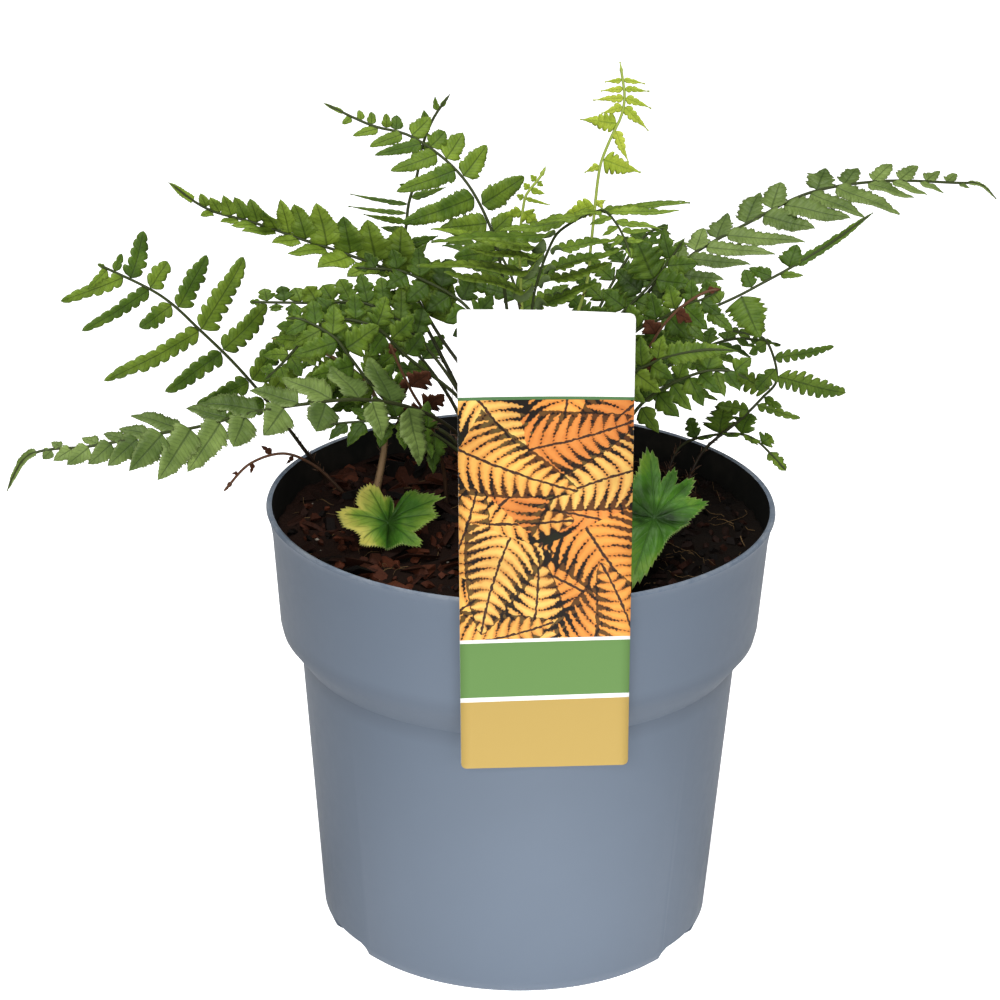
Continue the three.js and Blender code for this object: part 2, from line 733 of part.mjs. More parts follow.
// A young leaf: one blade whose outline is cut into lobes round a centre, on a short stipe
function cutLeaf(name, { centre, up, top, lobes, foot }) {
  const normal = new THREE.Vector3(...up).normalize();
  const upright = new THREE.Vector3(...top);
  upright.addScaledVector(normal, -upright.dot(normal)).normalize();
  const right = new THREE.Vector3().crossVectors(upright, normal);
  const middle = new THREE.Vector3(...centre);
  const outline = lobes.map(([degrees, radius]) => [degrees * RAD, radius]);
  const skin = new Skin();
  const place = (angle, radius, side) => {
    const arch = -0.003 * radius * radius + 0.4 * Math.sin(angle * 5);
    return middle.clone()
      .addScaledVector(right, radius * Math.cos(angle))
      .addScaledVector(upright, radius * Math.sin(angle))
      .addScaledVector(normal, arch + side * BLADE_THICKNESS / 2);
  };
  const topCentre = skin.add(place(0, 0, 1));
  const footCentre = skin.add(place(0, 0, -1));
  const tops = outline.map(([angle, radius]) => skin.add(place(angle, radius, 1)));
  const feet = outline.map(([angle, radius]) => skin.add(place(angle, radius, -1)));
  outline.forEach((_, index) => {
    const next = (index + 1) % outline.length;
    skin.tri(topCentre, tops[index], tops[next]);
    skin.tri(footCentre, feet[next], feet[index]);
    skin.quad(tops[index], feet[index], feet[next], tops[next]);
  });
  const start = new THREE.Vector3(...foot);
  const bend = start.clone().lerp(middle, 0.2).add(new THREE.Vector3(0, 0, 7));
  const stipe = new THREE.CatmullRomCurve3([start, bend, middle]);
  const faces = [new THREE.Vector3(0.02, -1, 0.05), new THREE.Vector3(0.02, -1, 0.05)];
  const tube = new Skin();
  let last = stipeFoot(tube, spineFrame(stipe, 0, faces), 0.8, 'soil');
  startCap(tube, last);
  for (const share of [0, 0.25, 0.5, 0.75, 1]) {
    const next = ring(tube, spineFrame(stipe, share, faces), 0.8);
    tubeSection(tube, last, next, false, false);
    last = next;
  }
  endCap(tube, last);
  const solid = solidOf(skin.geometry()).add(solidOf(tube.geometry()));
  keepClearOf(solid, name);
  show(name, geometryOf(solid), COLOURS.leaf, 0.6);
}

// The fronds. Each list of points is the midrib's route from the ground to the tip
const FACING_FRONT = [[0, -0.9, 0.5], [0, -0.9, 0.4]];
const plans = [
  frond('frond_upper_left',
    [[-9, 12, 171], [-14, 18, 200], [-31, 30, 223], [-47, 40, 243], [-65, 44, 250], [-84, 45, 256],
    [-101, 45, 262], [-119, 43, 268], [-133, 40, 279]],
    { faces: [[0, -0.7, 0.7], [0.3, -0.9, 0.5]], bare: 0.34, reach: 6, lift: [42, 42], sag: 0.05, end: 12,
    own: [
        [0.38, 0, 16, 8, 65], [0.38, 1, 17, 9, 70], [0.42, 0, 17, 6, 65], [0.42, 1, 18, 7, 65],
        [0.46, 0, 18, 7, 70], [0.49, 1, 19, 10, 65], [0.54, 1, 17, 10, 65], [0.54, 0, 14, 6, 65],
        [0.595, 0, 16, 7, 60], [0.595, 1, 15, 8, 65], [0.645, 1, 18, 7.5, 65], [0.645, 0, 16, 5, 40],
        [0.69, 1, 15, 6.5, 60], [0.705, 0, 11, 5, 40], [0.727, 1, 14, 5, 62], [0.755, 0, 13, 4, 30],
        [0.755, 1, 13, 5.5, 60], [0.795, 0, 10, 3.5, 30], [0.795, 1, 10, 4.5, 60], [0.82, 1, 10, 4, 55],
        [0.835, 0, 7, 3, 30], [0.85, 1, 9, 4, 60], [0.875, 1, 7, 3.5, 45], [0.89, 0, 6, 2.5, 50],
        [0.905, 1, 6, 3, 45]
      ] }),
  frond('frond_left_face',
    [[-75, 44, 160], [-83, 38, 174], [-93, 32, 191], [-107, 20, 214], [-119, 12, 230], [-133, 3, 247],
    [-155, -6, 262]],
    { ground: 'soil', faces: FACING_FRONT, bare: 0.3, reach: 4, blunt: 2.4, notch: 0.7, sag: 0.02, end: 3,
    thick: 0.9, own: [
        [0.33, 0, 17, 8, 75], [0.33, 1, 22, 9, 80], [0.41, 0, 21, 8, 70], [0.41, 1, 27, 9, 80],
        [0.545, 1, 24, 9, 95], [0.545, 0, 25, 7, 80], [0.64, 1, 31, 9, 80], [0.64, 0, 39, 7, 70],
        [0.74, 1, 22, 8, 80], [0.76, 0, 14, 7, 75], [0.84, 1, 12, 7, 100], [0.84, 0, 28, 5, 60],
        [0.9, 1, 18, 7, 85], [0.92, 0, 24, 5, 45], [0.95, 1, 7, 3, 95], [0.97, 0, 11, 3, 65]
      ] }),
  frond('frond_low_left',
    [[-12, 4, 171], [-22, -6, 196], [-38, -24, 214], [-58, -38, 223], [-79, -52, 226], [-96, -64, 227],
    [-113, -78, 227], [-126, -88, 228], [-150, -99, 227], [-162, -102, 227], [-170, -104, 225],
    [-177, -106, 213]],
    { faces: [[0, -0.35, 0.93], [-0.2, -0.5, 0.8]], bare: 0.26, reach: 8, lift: [-38, 5], sag: 0.05,
    end: 18, own: [
        [0.28, 0, 21, 9, 112], [0.31, 1, 25, 9, 95], [0.35, 0, 14, 7, 110], [0.37, 1, 18, 9, 80],
        [0.42, 1, 19, 9, 50], [0.435, 0, 11, 8, 60], [0.48, 1, 17, 7, 40], [0.51, 0, 12, 8, 40],
        [0.55, 1, 21, 8, 30], [0.58, 0, 12, 8, 50], [0.61, 1, 14, 6, 50], [0.625, 0, 22, 7.5, 35],
        [0.68, 0, 22, 8, 40], [0.695, 1, 17, 6, 45], [0.73, 0, 17, 6.5, 35], [0.75, 1, 10, 4.5, 35],
        [0.77, 0, 13, 5.5, 30], [0.79, 1, 7, 3.5, 40], [0.81, 0, 10, 4.5, 30], [0.83, 1, 6, 3, 45],
        [0.845, 0, 9, 4, 30], [0.87, 0, 7, 3.5, 30], [0.885, 1, 4, 2.5, 40], [0.9, 0, 4, 3, 35]
      ] }),
  frond('frond_back_left',
    [[-3, 18, 171], [-4, 22, 215], [-10, 25, 259], [-14, 28, 270], [-20, 30, 281], [-25, 32, 287],
    [-32, 34, 293], [-44, 36, 300], [-57, 37, 303], [-75, 38, 311]],
    { faces: [[0.3, -0.8, 0.5], [0.4, -0.8, 0.4]], bare: 0.46, reach: 4, sag: 0.05, end: 8, own: [
        [0.5, 0, 17, 8, 85], [0.54, 1, 11, 7, 70], [0.56, 0, 18, 8, 75], [0.6, 1, 21, 8, 90],
        [0.62, 0, 30, 8, 80], [0.67, 1, 16, 7.5, 80], [0.69, 0, 23, 6.5, 70], [0.72, 1, 13, 7, 85],
        [0.74, 0, 18, 6, 60], [0.76, 1, 9, 7, 100], [0.78, 0, 17, 4.5, 48], [0.805, 1, 11, 6.5, 110],
        [0.825, 0, 12, 4.5, 40], [0.84, 1, 6, 4.5, 85], [0.86, 1, 6, 3.5, 85], [0.876, 0, 9, 3.5, 30],
        [0.892, 1, 5, 3, 75], [0.915, 1, 4, 2.5, 60], [0.935, 0, 4, 2.5, 60]
      ] }),
  frond('frond_upright',
    [[-10, 20, 171], [-24, 34, 200], [-47, 50, 246], [-45, 56, 257], [-44, 60, 266], [-41, 64, 276],
    [-39, 67, 287], [-35, 69, 297], [-29, 70, 306]],
    { faces: [[0, -0.9, 0.4], [0, -0.9, 0.3]], bare: 0.42, reach: 5, sag: 0.02, end: 6, own: [
        [0.55, 0, 12, 6, 80], [0.55, 1, 13, 7, 60], [0.61, 1, 14, 5, 60], [0.61, 0, 11, 6, 105],
        [0.645, 0, 9, 4, 95], [0.67, 0, 17, 2.8, 92], [0.69, 0, 22, 2.2, 92], [0.712, 0, 22, 2.2, 94],
        [0.73, 1, 13, 3.5, 60], [0.75, 0, 5, 3, 90], [0.83, 0, 4, 3, 55], [0.85, 1, 7, 4, 55],
        [0.9, 0, 7, 4.5, 35], [0.95, 0, 5, 3, 45]
      ] }),
  frond('frond_small_left',
    [[-14, 10, 171], [-22, 10, 205], [-42, 15, 231], [-51, 17, 237], [-60, 19, 240], [-78, 21, 239],
    [-102, 21, 239]],
    { faces: FACING_FRONT, bare: 0.4, reach: 5, blunt: 3, notch: 0.9, sag: 0.02, end: 4, thick: 0.8, own: [
        [0.5, 1, 10, 7, 60], [0.53, 0, 8, 6, 100], [0.56, 1, 12, 6, 58], [0.59, 0, 7, 6, 105],
        [0.615, 1, 12, 6, 60], [0.645, 0, 7, 6, 105], [0.665, 1, 11, 6, 64], [0.69, 0, 8, 6, 100],
        [0.715, 1, 9, 6, 66], [0.74, 0, 6, 6, 90], [0.765, 1, 7, 7, 65], [0.785, 0, 6, 6, 95],
        [0.81, 1, 7, 6.5, 65], [0.83, 0, 6, 5, 90], [0.855, 1, 6, 6, 70], [0.875, 0, 5, 5, 90],
        [0.9, 1, 6, 5.5, 80], [0.925, 0, 3, 4, 95], [0.95, 1, 5, 5, 80]
      ] }),
  frond('frond_right_long',
    [[10, 15, 171], [22, 20, 202], [47, 27, 244], [62, 35, 255], [85, 47, 265], [107, 58, 273],
    [135, 68, 275], [165, 77, 272], [174, 79, 271], [181, 80, 265]],
    { faces: [[0, -0.25, 1], [0, -0.4, 0.9]], bare: 0.3, reach: 5, sag: 0.05, end: 14, own: [
        [0.35, 1, 21, 6.5, 62], [0.365, 0, 12, 7, 50], [0.39, 1, 21, 6.5, 60], [0.41, 0, 12, 7, 45],
        [0.43, 1, 23, 5.5, 54], [0.448, 0, 12, 7, 42], [0.465, 1, 25, 5.5, 50], [0.49, 0, 14, 7, 42],
        [0.505, 1, 28, 6.5, 46], [0.545, 0, 18, 8, 42], [0.575, 1, 20, 8, 60], [0.595, 0, 15, 8, 45],
        [0.615, 1, 25, 8.5, 55], [0.665, 1, 22, 7, 60], [0.68, 0, 14, 8.5, 55], [0.71, 1, 25, 8, 50],
        [0.727, 0, 13, 6, 48], [0.765, 1, 17, 5.5, 35], [0.777, 0, 15, 5.5, 45], [0.808, 1, 13, 4, 35],
        [0.823, 0, 14, 5, 45], [0.857, 1, 9, 3, 35], [0.869, 0, 10, 4, 45], [0.905, 0, 8, 3.5, 48],
        [0.925, 1, 4, 2, 30]
      ] }),
  frond('frond_right_middle',
    [[12, 8, 171], [26, 8, 200], [53, 10, 235], [68, 14, 241], [80, 17, 246], [88, 19, 250], [97, 20, 255],
    [110, 22, 263], [118, 22, 269], [128, 22, 277]],
    { faces: [[-0.1, -0.7, 0.6], [-0.2, -0.8, 0.5]], bare: 0.42, reach: 12, sag: 0.05, end: 34, thick: 0.8,
    own: [
        [0.44, 0, 10, 6, 80], [0.44, 1, 13, 7, 60], [0.48, 0, 9, 6, 95], [0.51, 1, 10, 7, 75],
        [0.54, 0, 9, 6, 100], [0.57, 1, 11, 6, 70], [0.6, 0, 11, 7, 100], [0.65, 1, 17, 13, 98],
        [0.68, 0, 8, 6, 85], [0.73, 0, 10, 5, 130], [0.75, 1, 8, 3, 30], [0.775, 0, 9, 8, 45]
      ] }),
  frond('frond_behind_right_rim',
    [[64, 44, 160], [70, 47, 172], [85, 48, 186], [92, 48, 194], [97, 47, 201], [95, 45, 213],
    [91, 43, 220], [85, 42, 222], [76, 41, 224]],
    { ground: 'soil', faces: [[0.3, -0.9, 0.2], [0.2, -0.9, 0.4]], bare: 0.38, reach: 10, blunt: 2.4,
    notch: 0.6, sag: 0.03, end: 9, thick: 0.7, own: [
        [0.42, 0, 13, 6, 125], [0.46, 1, 17, 4, 70], [0.505, 1, 8, 3.5, 72], [0.55, 0, 16, 9, 110],
        [0.62, 1, 31, 9, 115], [0.66, 0, 11, 8, 125], [0.71, 1, 26, 5, 110], [0.8, 0, 8, 5, 80],
        [0.85, 1, 6, 5, 80]
      ] }),
  frond('frond_right_front',
    [[10, 0, 171], [22, -8, 198], [28, -14, 217], [36, -18, 225], [49, -22, 234], [57, -23, 237],
    [67, -24, 239], [77, -25, 239]],
    { faces: FACING_FRONT, bare: 0.5, reach: 26, sag: 0.05, end: 26, own: [
        [0.52, 1, 10, 7, 75], [0.545, 0, 10, 8, 75], [0.58, 1, 11, 8, 75], [0.61, 0, 12, 8, 75],
        [0.64, 1, 11, 8, 65], [0.67, 0, 11, 8, 70], [0.7, 1, 9, 7, 55], [0.73, 0, 9, 7, 60]
      ] }),
  frond('frond_right_low',
    [[14, 4, 171], [30, -8, 190], [43, -13, 213], [51, -16, 221], [59, -18, 226], [67, -19, 229],
    [75, -19, 229], [82, -19, 226]],
    { faces: FACING_FRONT, bare: 0.45, reach: 8, blunt: 2.2, sag: 0.08, end: 6, own: [
        [0.48, 0, 10, 7, 90], [0.54, 1, 11, 7, 105], [0.58, 0, 10, 7, 90], [0.63, 1, 11, 8, 80],
        [0.66, 0, 10, 6, 80], [0.7, 1, 11, 6, 80], [0.73, 0, 12, 6, 50], [0.77, 1, 11, 7, 85],
        [0.81, 1, 12, 6, 60], [0.84, 0, 10, 8, 65], [0.87, 1, 9, 4.5, 75], [0.91, 1, 9, 6, 60],
        [0.94, 0, 8, 6, 65]
      ] }),
  frond('frond_over_label',
    [[1, -4, 171], [3, -6, 212], [3, -6, 249], [5, -7, 260], [8, -9, 270], [11, -13, 278], [16, -21, 285],
    [22, -32, 292], [27, -44, 297], [31, -58, 297], [34, -68, 294], [36, -75, 290]],
    { faces: [[0, 0.37, 0.93], [-0.15, 0.35, 0.93]], bare: 0.4, reach: 8, notch: 0.6, sag: 0, curl: 0,
    end: 5, light: [-0.1, -0.4, 1], turn: 0.9, own: [
        [0.42, 0, 26, 8, 70], [0.45, 1, 39, 10, 75], [0.47, 0, 31, 8, 75], [0.5, 1, 54, 10, 85],
        [0.5, 0, 34, 8, 75], [0.525, 1, 35, 8, 80], [0.55, 1, 46, 9, 85], [0.55, 0, 28, 7, 80],
        [0.6, 1, 50, 9, 90], [0.68, 1, 27, 8, 110], [0.73, 1, 18, 6, 120], [0.75, 0, 33, 5, 62],
        [0.785, 0, 32, 5, 68], [0.8, 1, 14, 5, 60], [0.83, 0, 25, 5, 70], [0.86, 1, 11, 4, 55],
        [0.885, 0, 16, 4, 55], [0.905, 1, 9, 3, 50], [0.925, 0, 10, 3, 80], [0.94, 1, 8, 3, 45],
        [0.955, 0, 6, 3, 80]
      ] }),
  frond('frond_young_tall',
    [[4, 13, 171], [14, 12, 220], [23, 11, 252], [24, 10, 265], [25, 10, 278], [26, 10, 291],
    [27, 10, 298], [29, 10, 304], [31, 10, 309], [34, 10, 316], [35, 10, 323], [34, 10, 330],
    [33, 10, 336]],
    { faces: FACING_FRONT, bare: 0.6, reach: 3, sag: 0.1, end: 4, thick: 0.8, colour: 'fresh', own: [
        [0.67, 0, 13, 8.5, 115], [0.67, 1, 4, 4, 50], [0.76, 0, 6, 3.5, 130], [0.775, 1, 14, 9, 90],
        [0.845, 1, 12, 5, 130], [0.86, 0, 14, 7.5, 110], [0.9, 0, 8, 4, 115], [0.9, 1, 12, 4.5, 125],
        [0.92, 0, 11, 3.5, 95], [0.92, 1, 10, 3.5, 110], [0.94, 0, 8, 3, 85], [0.94, 1, 9, 3, 105],
        [0.96, 0, 6, 2.5, 85], [0.96, 1, 8, 2.5, 110]
      ] }),
  frond('frond_young_short',
    [[-3, 6, 171], [0, 6, 220], [-2, 5, 270], [-1, 5, 282], [0, 5, 287], [2, 5, 290], [5, 5, 294],
    [7, 5, 298]],
    { faces: FACING_FRONT, bare: 0.8, reach: 5, sag: 0.05, end: 4, thick: 0.7, colour: 'fresh', own: [
        [0.85, 0, 6, 5, 115], [0.85, 1, 7, 7, 125], [0.89, 1, 9, 2, 90], [0.89, 0, 3, 3, 90],
        [0.92, 1, 5, 3, 65], [0.92, 0, 3, 3.5, 90], [0.95, 1, 4, 3.5, 90], [0.95, 0, 3, 3, 90]
      ] }),
  frond('frond_right_rim',
    [[56, 50, 160], [62, 53, 172], [76, 50, 178], [88, 42, 180], [101, 31, 171]],
    { ground: 'soil', faces: [[0, -0.3, 1], [0, -0.5, 0.9]], bare: 0.26, reach: 14, blunt: 3, sag: 0.05,
    end: 10, thick: 0.6, lift: [35, 35], own: [
        [0.32, 0, 9, 5, 100], [0.38, 1, 6, 4, 70], [0.47, 0, 13, 10, 85], [0.56, 1, 7, 5, 60],
        [0.62, 0, 9, 8, 85], [0.7, 1, 6, 5, 60], [0.77, 0, 5, 6, 80]
      ] }),
  frond('frond_left_bark',
    [[-55, 31, 160], [-52, 34, 183], [-58, 30, 203], [-72, 24, 217], [-94, 18, 226]],
    { ground: 'soil', faces: [[0, -0.7, 0.7], [-0.2, -0.7, 0.7]], bare: 0.42, leaflets: 12, reach: 24,
      slim: 0.5, notch: 0.84, thick: 1.4, end: 10 }),
  frond('frond_left_under',
    [[-8, -3, 171], [-20, -10, 190], [-40, -16, 206], [-48, -19, 209], [-56, -20, 208], [-66, -20, 207],
    [-76, -19, 205]],
    { faces: [[0, -0.6, 0.8], [0, -0.6, 0.8]], bare: 0.4, reach: 8, sag: 0.1, end: 8, own: [
        [0.46, 0, 14, 8, 110], [0.5, 1, 12, 7, 80], [0.55, 0, 15, 9, 115], [0.62, 0, 13, 8, 100],
        [0.65, 1, 12, 7, 80], [0.7, 0, 11, 7, 75], [0.755, 1, 10, 5, 50], [0.79, 0, 10, 6, 55],
        [0.86, 0, 8, 5, 40], [0.9, 1, 7, 4, 40]
      ] }),
  frond('frond_left_middle',
    [[-14, 1, 171], [-27, -3, 196], [-45, -6, 206], [-56, -10, 219], [-63, -11, 229], [-68, -11, 236],
    [-74, -10, 240], [-81, -9, 243], [-87, -8, 243]],
    { faces: FACING_FRONT, bare: 0.45, reach: 8, blunt: 2.2, sag: 0.05, end: 6, own: [
        [0.52, 0, 12, 8, 70], [0.52, 1, 12, 7, 80], [0.59, 0, 12, 7, 65], [0.59, 1, 11, 7, 85],
        [0.645, 1, 13, 7.5, 65], [0.645, 0, 11, 6, 68], [0.7, 0, 18, 9, 64], [0.7, 1, 11, 6, 85],
        [0.765, 1, 15, 10, 92], [0.8, 0, 16, 8, 65], [0.83, 1, 11, 8, 60], [0.87, 0, 11, 6, 60],
        [0.895, 1, 9, 7, 58], [0.925, 0, 8, 5, 52], [0.955, 1, 6, 4, 60]
      ] }),
  frond('frond_right_rising',
    [[6, 3, 171], [14, 6, 192], [28, 2, 229], [37, 0, 234], [44, -2, 240], [51, -4, 244], [58, -5, 249],
    [65, -6, 252], [71, -6, 256]],
    { faces: FACING_FRONT, bare: 0.5, reach: 6, blunt: 2.2, sag: 0.1, end: 5, own: [
        [0.6, 0, 8, 7, 80], [0.63, 1, 9, 7, 80], [0.67, 1, 9, 8, 95], [0.7, 0, 10, 7, 80],
        [0.74, 1, 9, 8, 80], [0.77, 0, 11, 7, 85], [0.81, 1, 10, 9, 80], [0.84, 0, 10, 7, 75],
        [0.87, 1, 12, 8, 65], [0.9, 0, 9, 6, 80], [0.93, 1, 8, 6, 55], [0.955, 0, 6, 5, 70]
      ] }),
  frond('frond_middle_right',
    [[8, 9, 171], [17, 15, 205], [35, 18, 236], [41, 20, 242], [47, 22, 248], [52, 24, 254], [56, 25, 260],
    [59, 25, 265]],
    { faces: FACING_FRONT, bare: 0.5, reach: 8, blunt: 2.4, sag: 0.05, end: 6, own: [
        [0.62, 0, 10, 8, 90], [0.65, 1, 9, 8, 70], [0.69, 0, 11, 8, 100], [0.73, 1, 10, 8, 65],
        [0.765, 0, 13, 9, 95], [0.83, 0, 18, 13, 70], [0.83, 1, 14, 9, 62], [0.89, 1, 11, 7, 50],
        [0.915, 0, 11, 6, 50]
      ] }),
  frond('frond_middle_left',
    [[-4, 12, 171], [-8, 14, 215], [-20, 18, 238], [-28, 20, 244], [-37, 22, 248], [-46, 24, 251],
    [-54, 26, 251], [-63, 27, 251]],
    { faces: FACING_FRONT, bare: 0.48, reach: 7, blunt: 2.2, sag: 0.05, end: 5, own: [
        [0.55, 0, 10, 7, 85], [0.575, 1, 10, 8, 80], [0.605, 0, 10, 8, 80], [0.64, 1, 11, 8, 80],
        [0.68, 0, 10, 9, 70], [0.715, 1, 11, 9, 75], [0.76, 0, 10, 9, 70], [0.79, 1, 11, 8, 65],
        [0.83, 0, 9, 8, 60], [0.865, 1, 8, 7, 70], [0.9, 0, 6, 5, 60], [0.935, 1, 7, 5, 55]
      ] }),
  frond('frond_left_inner',
    [[-8, 6, 171], [-20, 2, 205], [-44, 0, 227], [-53, -2, 237], [-64, -3, 241], [-72, -5, 241],
    [-77, -6, 237], [-83, -6, 231], [-89, -6, 224], [-95, -6, 218]],
    { faces: FACING_FRONT, bare: 0.42, reach: 8, blunt: 2.2, sag: 0.05, end: 6, own: [
        [0.5, 1, 10, 8, 90], [0.53, 0, 10, 7, 90], [0.565, 1, 12, 8, 90], [0.59, 0, 10, 7, 90],
        [0.62, 1, 12, 8, 85], [0.65, 0, 11, 7, 75], [0.68, 1, 10, 7, 80], [0.71, 0, 10, 7, 65],
        [0.735, 1, 10, 7, 60], [0.795, 1, 14, 7, 52], [0.795, 0, 8, 5, 72], [0.85, 1, 10, 6, 52],
        [0.85, 0, 9, 6, 82], [0.9, 1, 9, 5, 50], [0.9, 0, 8, 6, 78], [0.94, 0, 6, 4.5, 65],
        [0.962, 1, 5, 3.5, 55]
      ] }),
  frond('frond_back_upright',
    [[2, 22, 171], [2, 36, 208], [-4, 58, 236], [-16, 86, 246], [-26, 108, 240]],
    { faces: [[0, -0.2, 1], [0, 0.3, 1]], bare: 0.42, leaflets: 15, reach: 26, slim: 0.4, end: 14 }),
  frond('frond_back_right',
    [[9, 21, 171], [18, 34, 206], [32, 54, 234], [46, 78, 248], [56, 100, 246]],
    { faces: [[-0.2, -0.3, 1], [0, 0.2, 1]], bare: 0.38, leaflets: 16, reach: 26, slim: 0.4, end: 14 }),
  frond('frond_far_right',
    [[15, 13, 171], [32, 28, 194], [56, 44, 208], [80, 58, 214], [100, 70, 208]],
    { faces: [[-0.2, -0.4, 0.9], [0, -0.2, 1]], bare: 0.34, leaflets: 14, reach: 25, slim: 0.42, end: 14 }),
  frond('frond_far_left',
    [[-12, 17, 171], [-30, 38, 200], [-52, 62, 216], [-74, 84, 218], [-90, 98, 208]],
    { faces: [[0.2, -0.3, 0.9], [0, 0.1, 1]], bare: 0.36, leaflets: 14, reach: 25, slim: 0.42, end: 14 }),
];
const withered = [
  frond('withered_frond_left',
    [[-28, 16, 161], [-29, 15, 174], [-34, 4, 198], [-41, -4, 214], [-46, -7, 226], [-49, -8, 234]],
    { ground: 'soil', faces: FACING_FRONT, bare: 0.5, reach: 6, sag: 0.3, end: 5, thick: 0.8,
    colour: 'dead', own: [
        [0.6, 0, 11, 8, 70], [0.6, 1, 11, 8, 80], [0.75, 0, 12, 9, 60], [0.75, 1, 11, 8, 70],
        [0.88, 0, 7, 5, 50]
      ] }),
  frond('withered_frond_right',
    [[27, 18, 161], [28, 17, 174], [33, 4, 200], [37, -8, 222], [45, -12, 234], [50, -12, 243],
    [57, -12, 251], [66, -12, 257], [71, -12, 258]],
    { ground: 'soil', faces: FACING_FRONT, bare: 0.5, reach: 5, sag: 0.3, end: 5, thick: 0.7,
    colour: 'dead', own: [
        [0.62, 0, 12, 9, 70], [0.66, 1, 12, 8, 60], [0.75, 0, 8, 6, 60], [0.84, 1, 6, 4, 60]
      ] }),
  frond('withered_frond_rim',
    [[-68, 30, 160], [-78, 30, 170], [-90, 28, 176], [-103, 27, 172], [-113, 26, 161]],
    { ground: 'soil', faces: FACING_FRONT, bare: 0.4, leaflets: 4, reach: 5, slim: 0.5, angle: 60,
      end: 5, thick: 0.6, colour: 'dead' }),
];

// Build in order: what the leaflets keep clear of comes first
const pot = potSolid();
const label = labelSolid();
const bareCrown = crownSolid();
const bareSoil = withChips(solidOf(soilGeometry()).subtract(notchHoods(GAP)))
  .subtract(solidOf(crownGeometry(GAP)));
keepClearOf(pot, 'pot');
keepClearOf(label, 'label');
keepClearOf(bareSoil, 'soil');
keepClearOf(bareCrown, 'crown');
for (const plan of [...plans, ...withered]) keepClearOf(midribSolid(plan), plan.name);

cutLeaf('young_leaf_left', {
  centre: [-49, -26, 172], up: [-0.1, -0.6, 0.8], top: [0, 0.5, 1], foot: [-43, 0, 161],
  lobes: [[5, 18], [12, 20], [22, 23.5], [32, 19], [44, 16], [56, 16.5], [66, 9], [76, 7], [86, 12],
    [98, 16], [110, 19], [122, 17.5], [134, 15], [146, 12], [157, 15], [166, 21], [175, 21.5],
    [188, 17], [200, 14], [212, 14], [224, 17.5], [236, 16], [252, 14], [266, 12.5], [284, 13],
    [302, 15], [318, 17.5], [330, 13], [342, 11], [354, 14]],
});
cutLeaf('young_leaf_right', {
  centre: [48.5, -42, 182], up: [0.1, -0.6, 0.8], top: [0, 0.5, 1], foot: [42, -26, 161],
  lobes: [[8, 17], [18, 21.5], [25, 18], [33, 15], [40, 19], [48, 23], [55, 20], [61, 18], [68, 23],
    [75, 22], [80, 20], [86, 27], [93, 30], [100, 25], [112, 19], [130, 15], [150, 17], [166, 13],
    [184, 15], [200, 11], [216, 15], [230, 20], [243, 28], [252, 31], [262, 25], [273, 18], [290, 13],
    [310, 11], [332, 12], [350, 14]],
});
for (const plan of [...plans, ...withered]) growFrond(plan);

const crown = holes.crown.reduce((solid, hole) => solid.subtract(hole), bareCrown);
const soil = holes.soil.reduce((solid, hole) => solid.subtract(hole), bareSoil);
show('nursery_pot', geometryOf(pot), COLOURS.pot, 0.45);
show('potting_soil', geometryOf(soil), COLOURS.soil, 0.95);
show('plant_label', geometryOf(label), COLOURS.card, 0.35);
show('crown', geometryOf(crown), COLOURS.crown, 0.9);

export default plant;
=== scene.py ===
"""A wood fern in its round nursery pot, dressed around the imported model. Metres, +Z up, -Y is the front."""
import bisect
import math

import bmesh
import bpy
from mathutils import Matrix, Vector, noise
from mathutils.kdtree import KDTree


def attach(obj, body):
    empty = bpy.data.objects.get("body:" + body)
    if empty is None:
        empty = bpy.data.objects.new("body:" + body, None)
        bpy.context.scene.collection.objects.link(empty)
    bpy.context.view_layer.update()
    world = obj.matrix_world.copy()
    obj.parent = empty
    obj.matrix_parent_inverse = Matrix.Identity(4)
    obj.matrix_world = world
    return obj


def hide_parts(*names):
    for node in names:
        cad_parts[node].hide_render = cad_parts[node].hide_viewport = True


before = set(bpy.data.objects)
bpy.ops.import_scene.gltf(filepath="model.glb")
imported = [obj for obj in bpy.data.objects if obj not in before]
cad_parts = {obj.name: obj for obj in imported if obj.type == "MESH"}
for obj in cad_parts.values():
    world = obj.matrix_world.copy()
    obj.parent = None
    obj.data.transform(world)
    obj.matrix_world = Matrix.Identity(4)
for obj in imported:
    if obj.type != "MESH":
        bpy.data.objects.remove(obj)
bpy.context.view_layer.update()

MM = 0.001


# The studio: a white sweep, glowing before the pot to light its foot, a bright even sky and three soft lamps,
# seen through a long lens from a little above the rim. The camera leans by less than a degree.
CAMERA_DISTANCE = 1.4
CAMERA_ELEVATION = math.radians(21.99)
CAMERA_ROLL = math.radians(0.85)
CAMERA_TARGET = Vector((-0.0078, 0, 0.1696))
LENS = 134.96

backward = Vector((0, -math.cos(CAMERA_ELEVATION), math.sin(CAMERA_ELEVATION)))
level_right = Vector((1, 0, 0))
level_up = backward.cross(level_right)
camera_right = level_right * math.cos(CAMERA_ROLL) + level_up * math.sin(CAMERA_ROLL)
camera_up = backward.cross(camera_right)
camera_data = bpy.data.cameras.new("camera")
camera_data.lens = LENS
camera_data.clip_end = 50
camera = bpy.data.objects.new("camera", camera_data)
bpy.context.scene.collection.objects.link(camera)
camera.matrix_world = Matrix.Translation(CAMERA_TARGET + backward * CAMERA_DISTANCE) @ Matrix(
    (camera_right, camera_up, backward)).transposed().to_4x4()
bpy.context.scene.camera = camera
bpy.context.scene.view_settings.view_transform = "Standard"


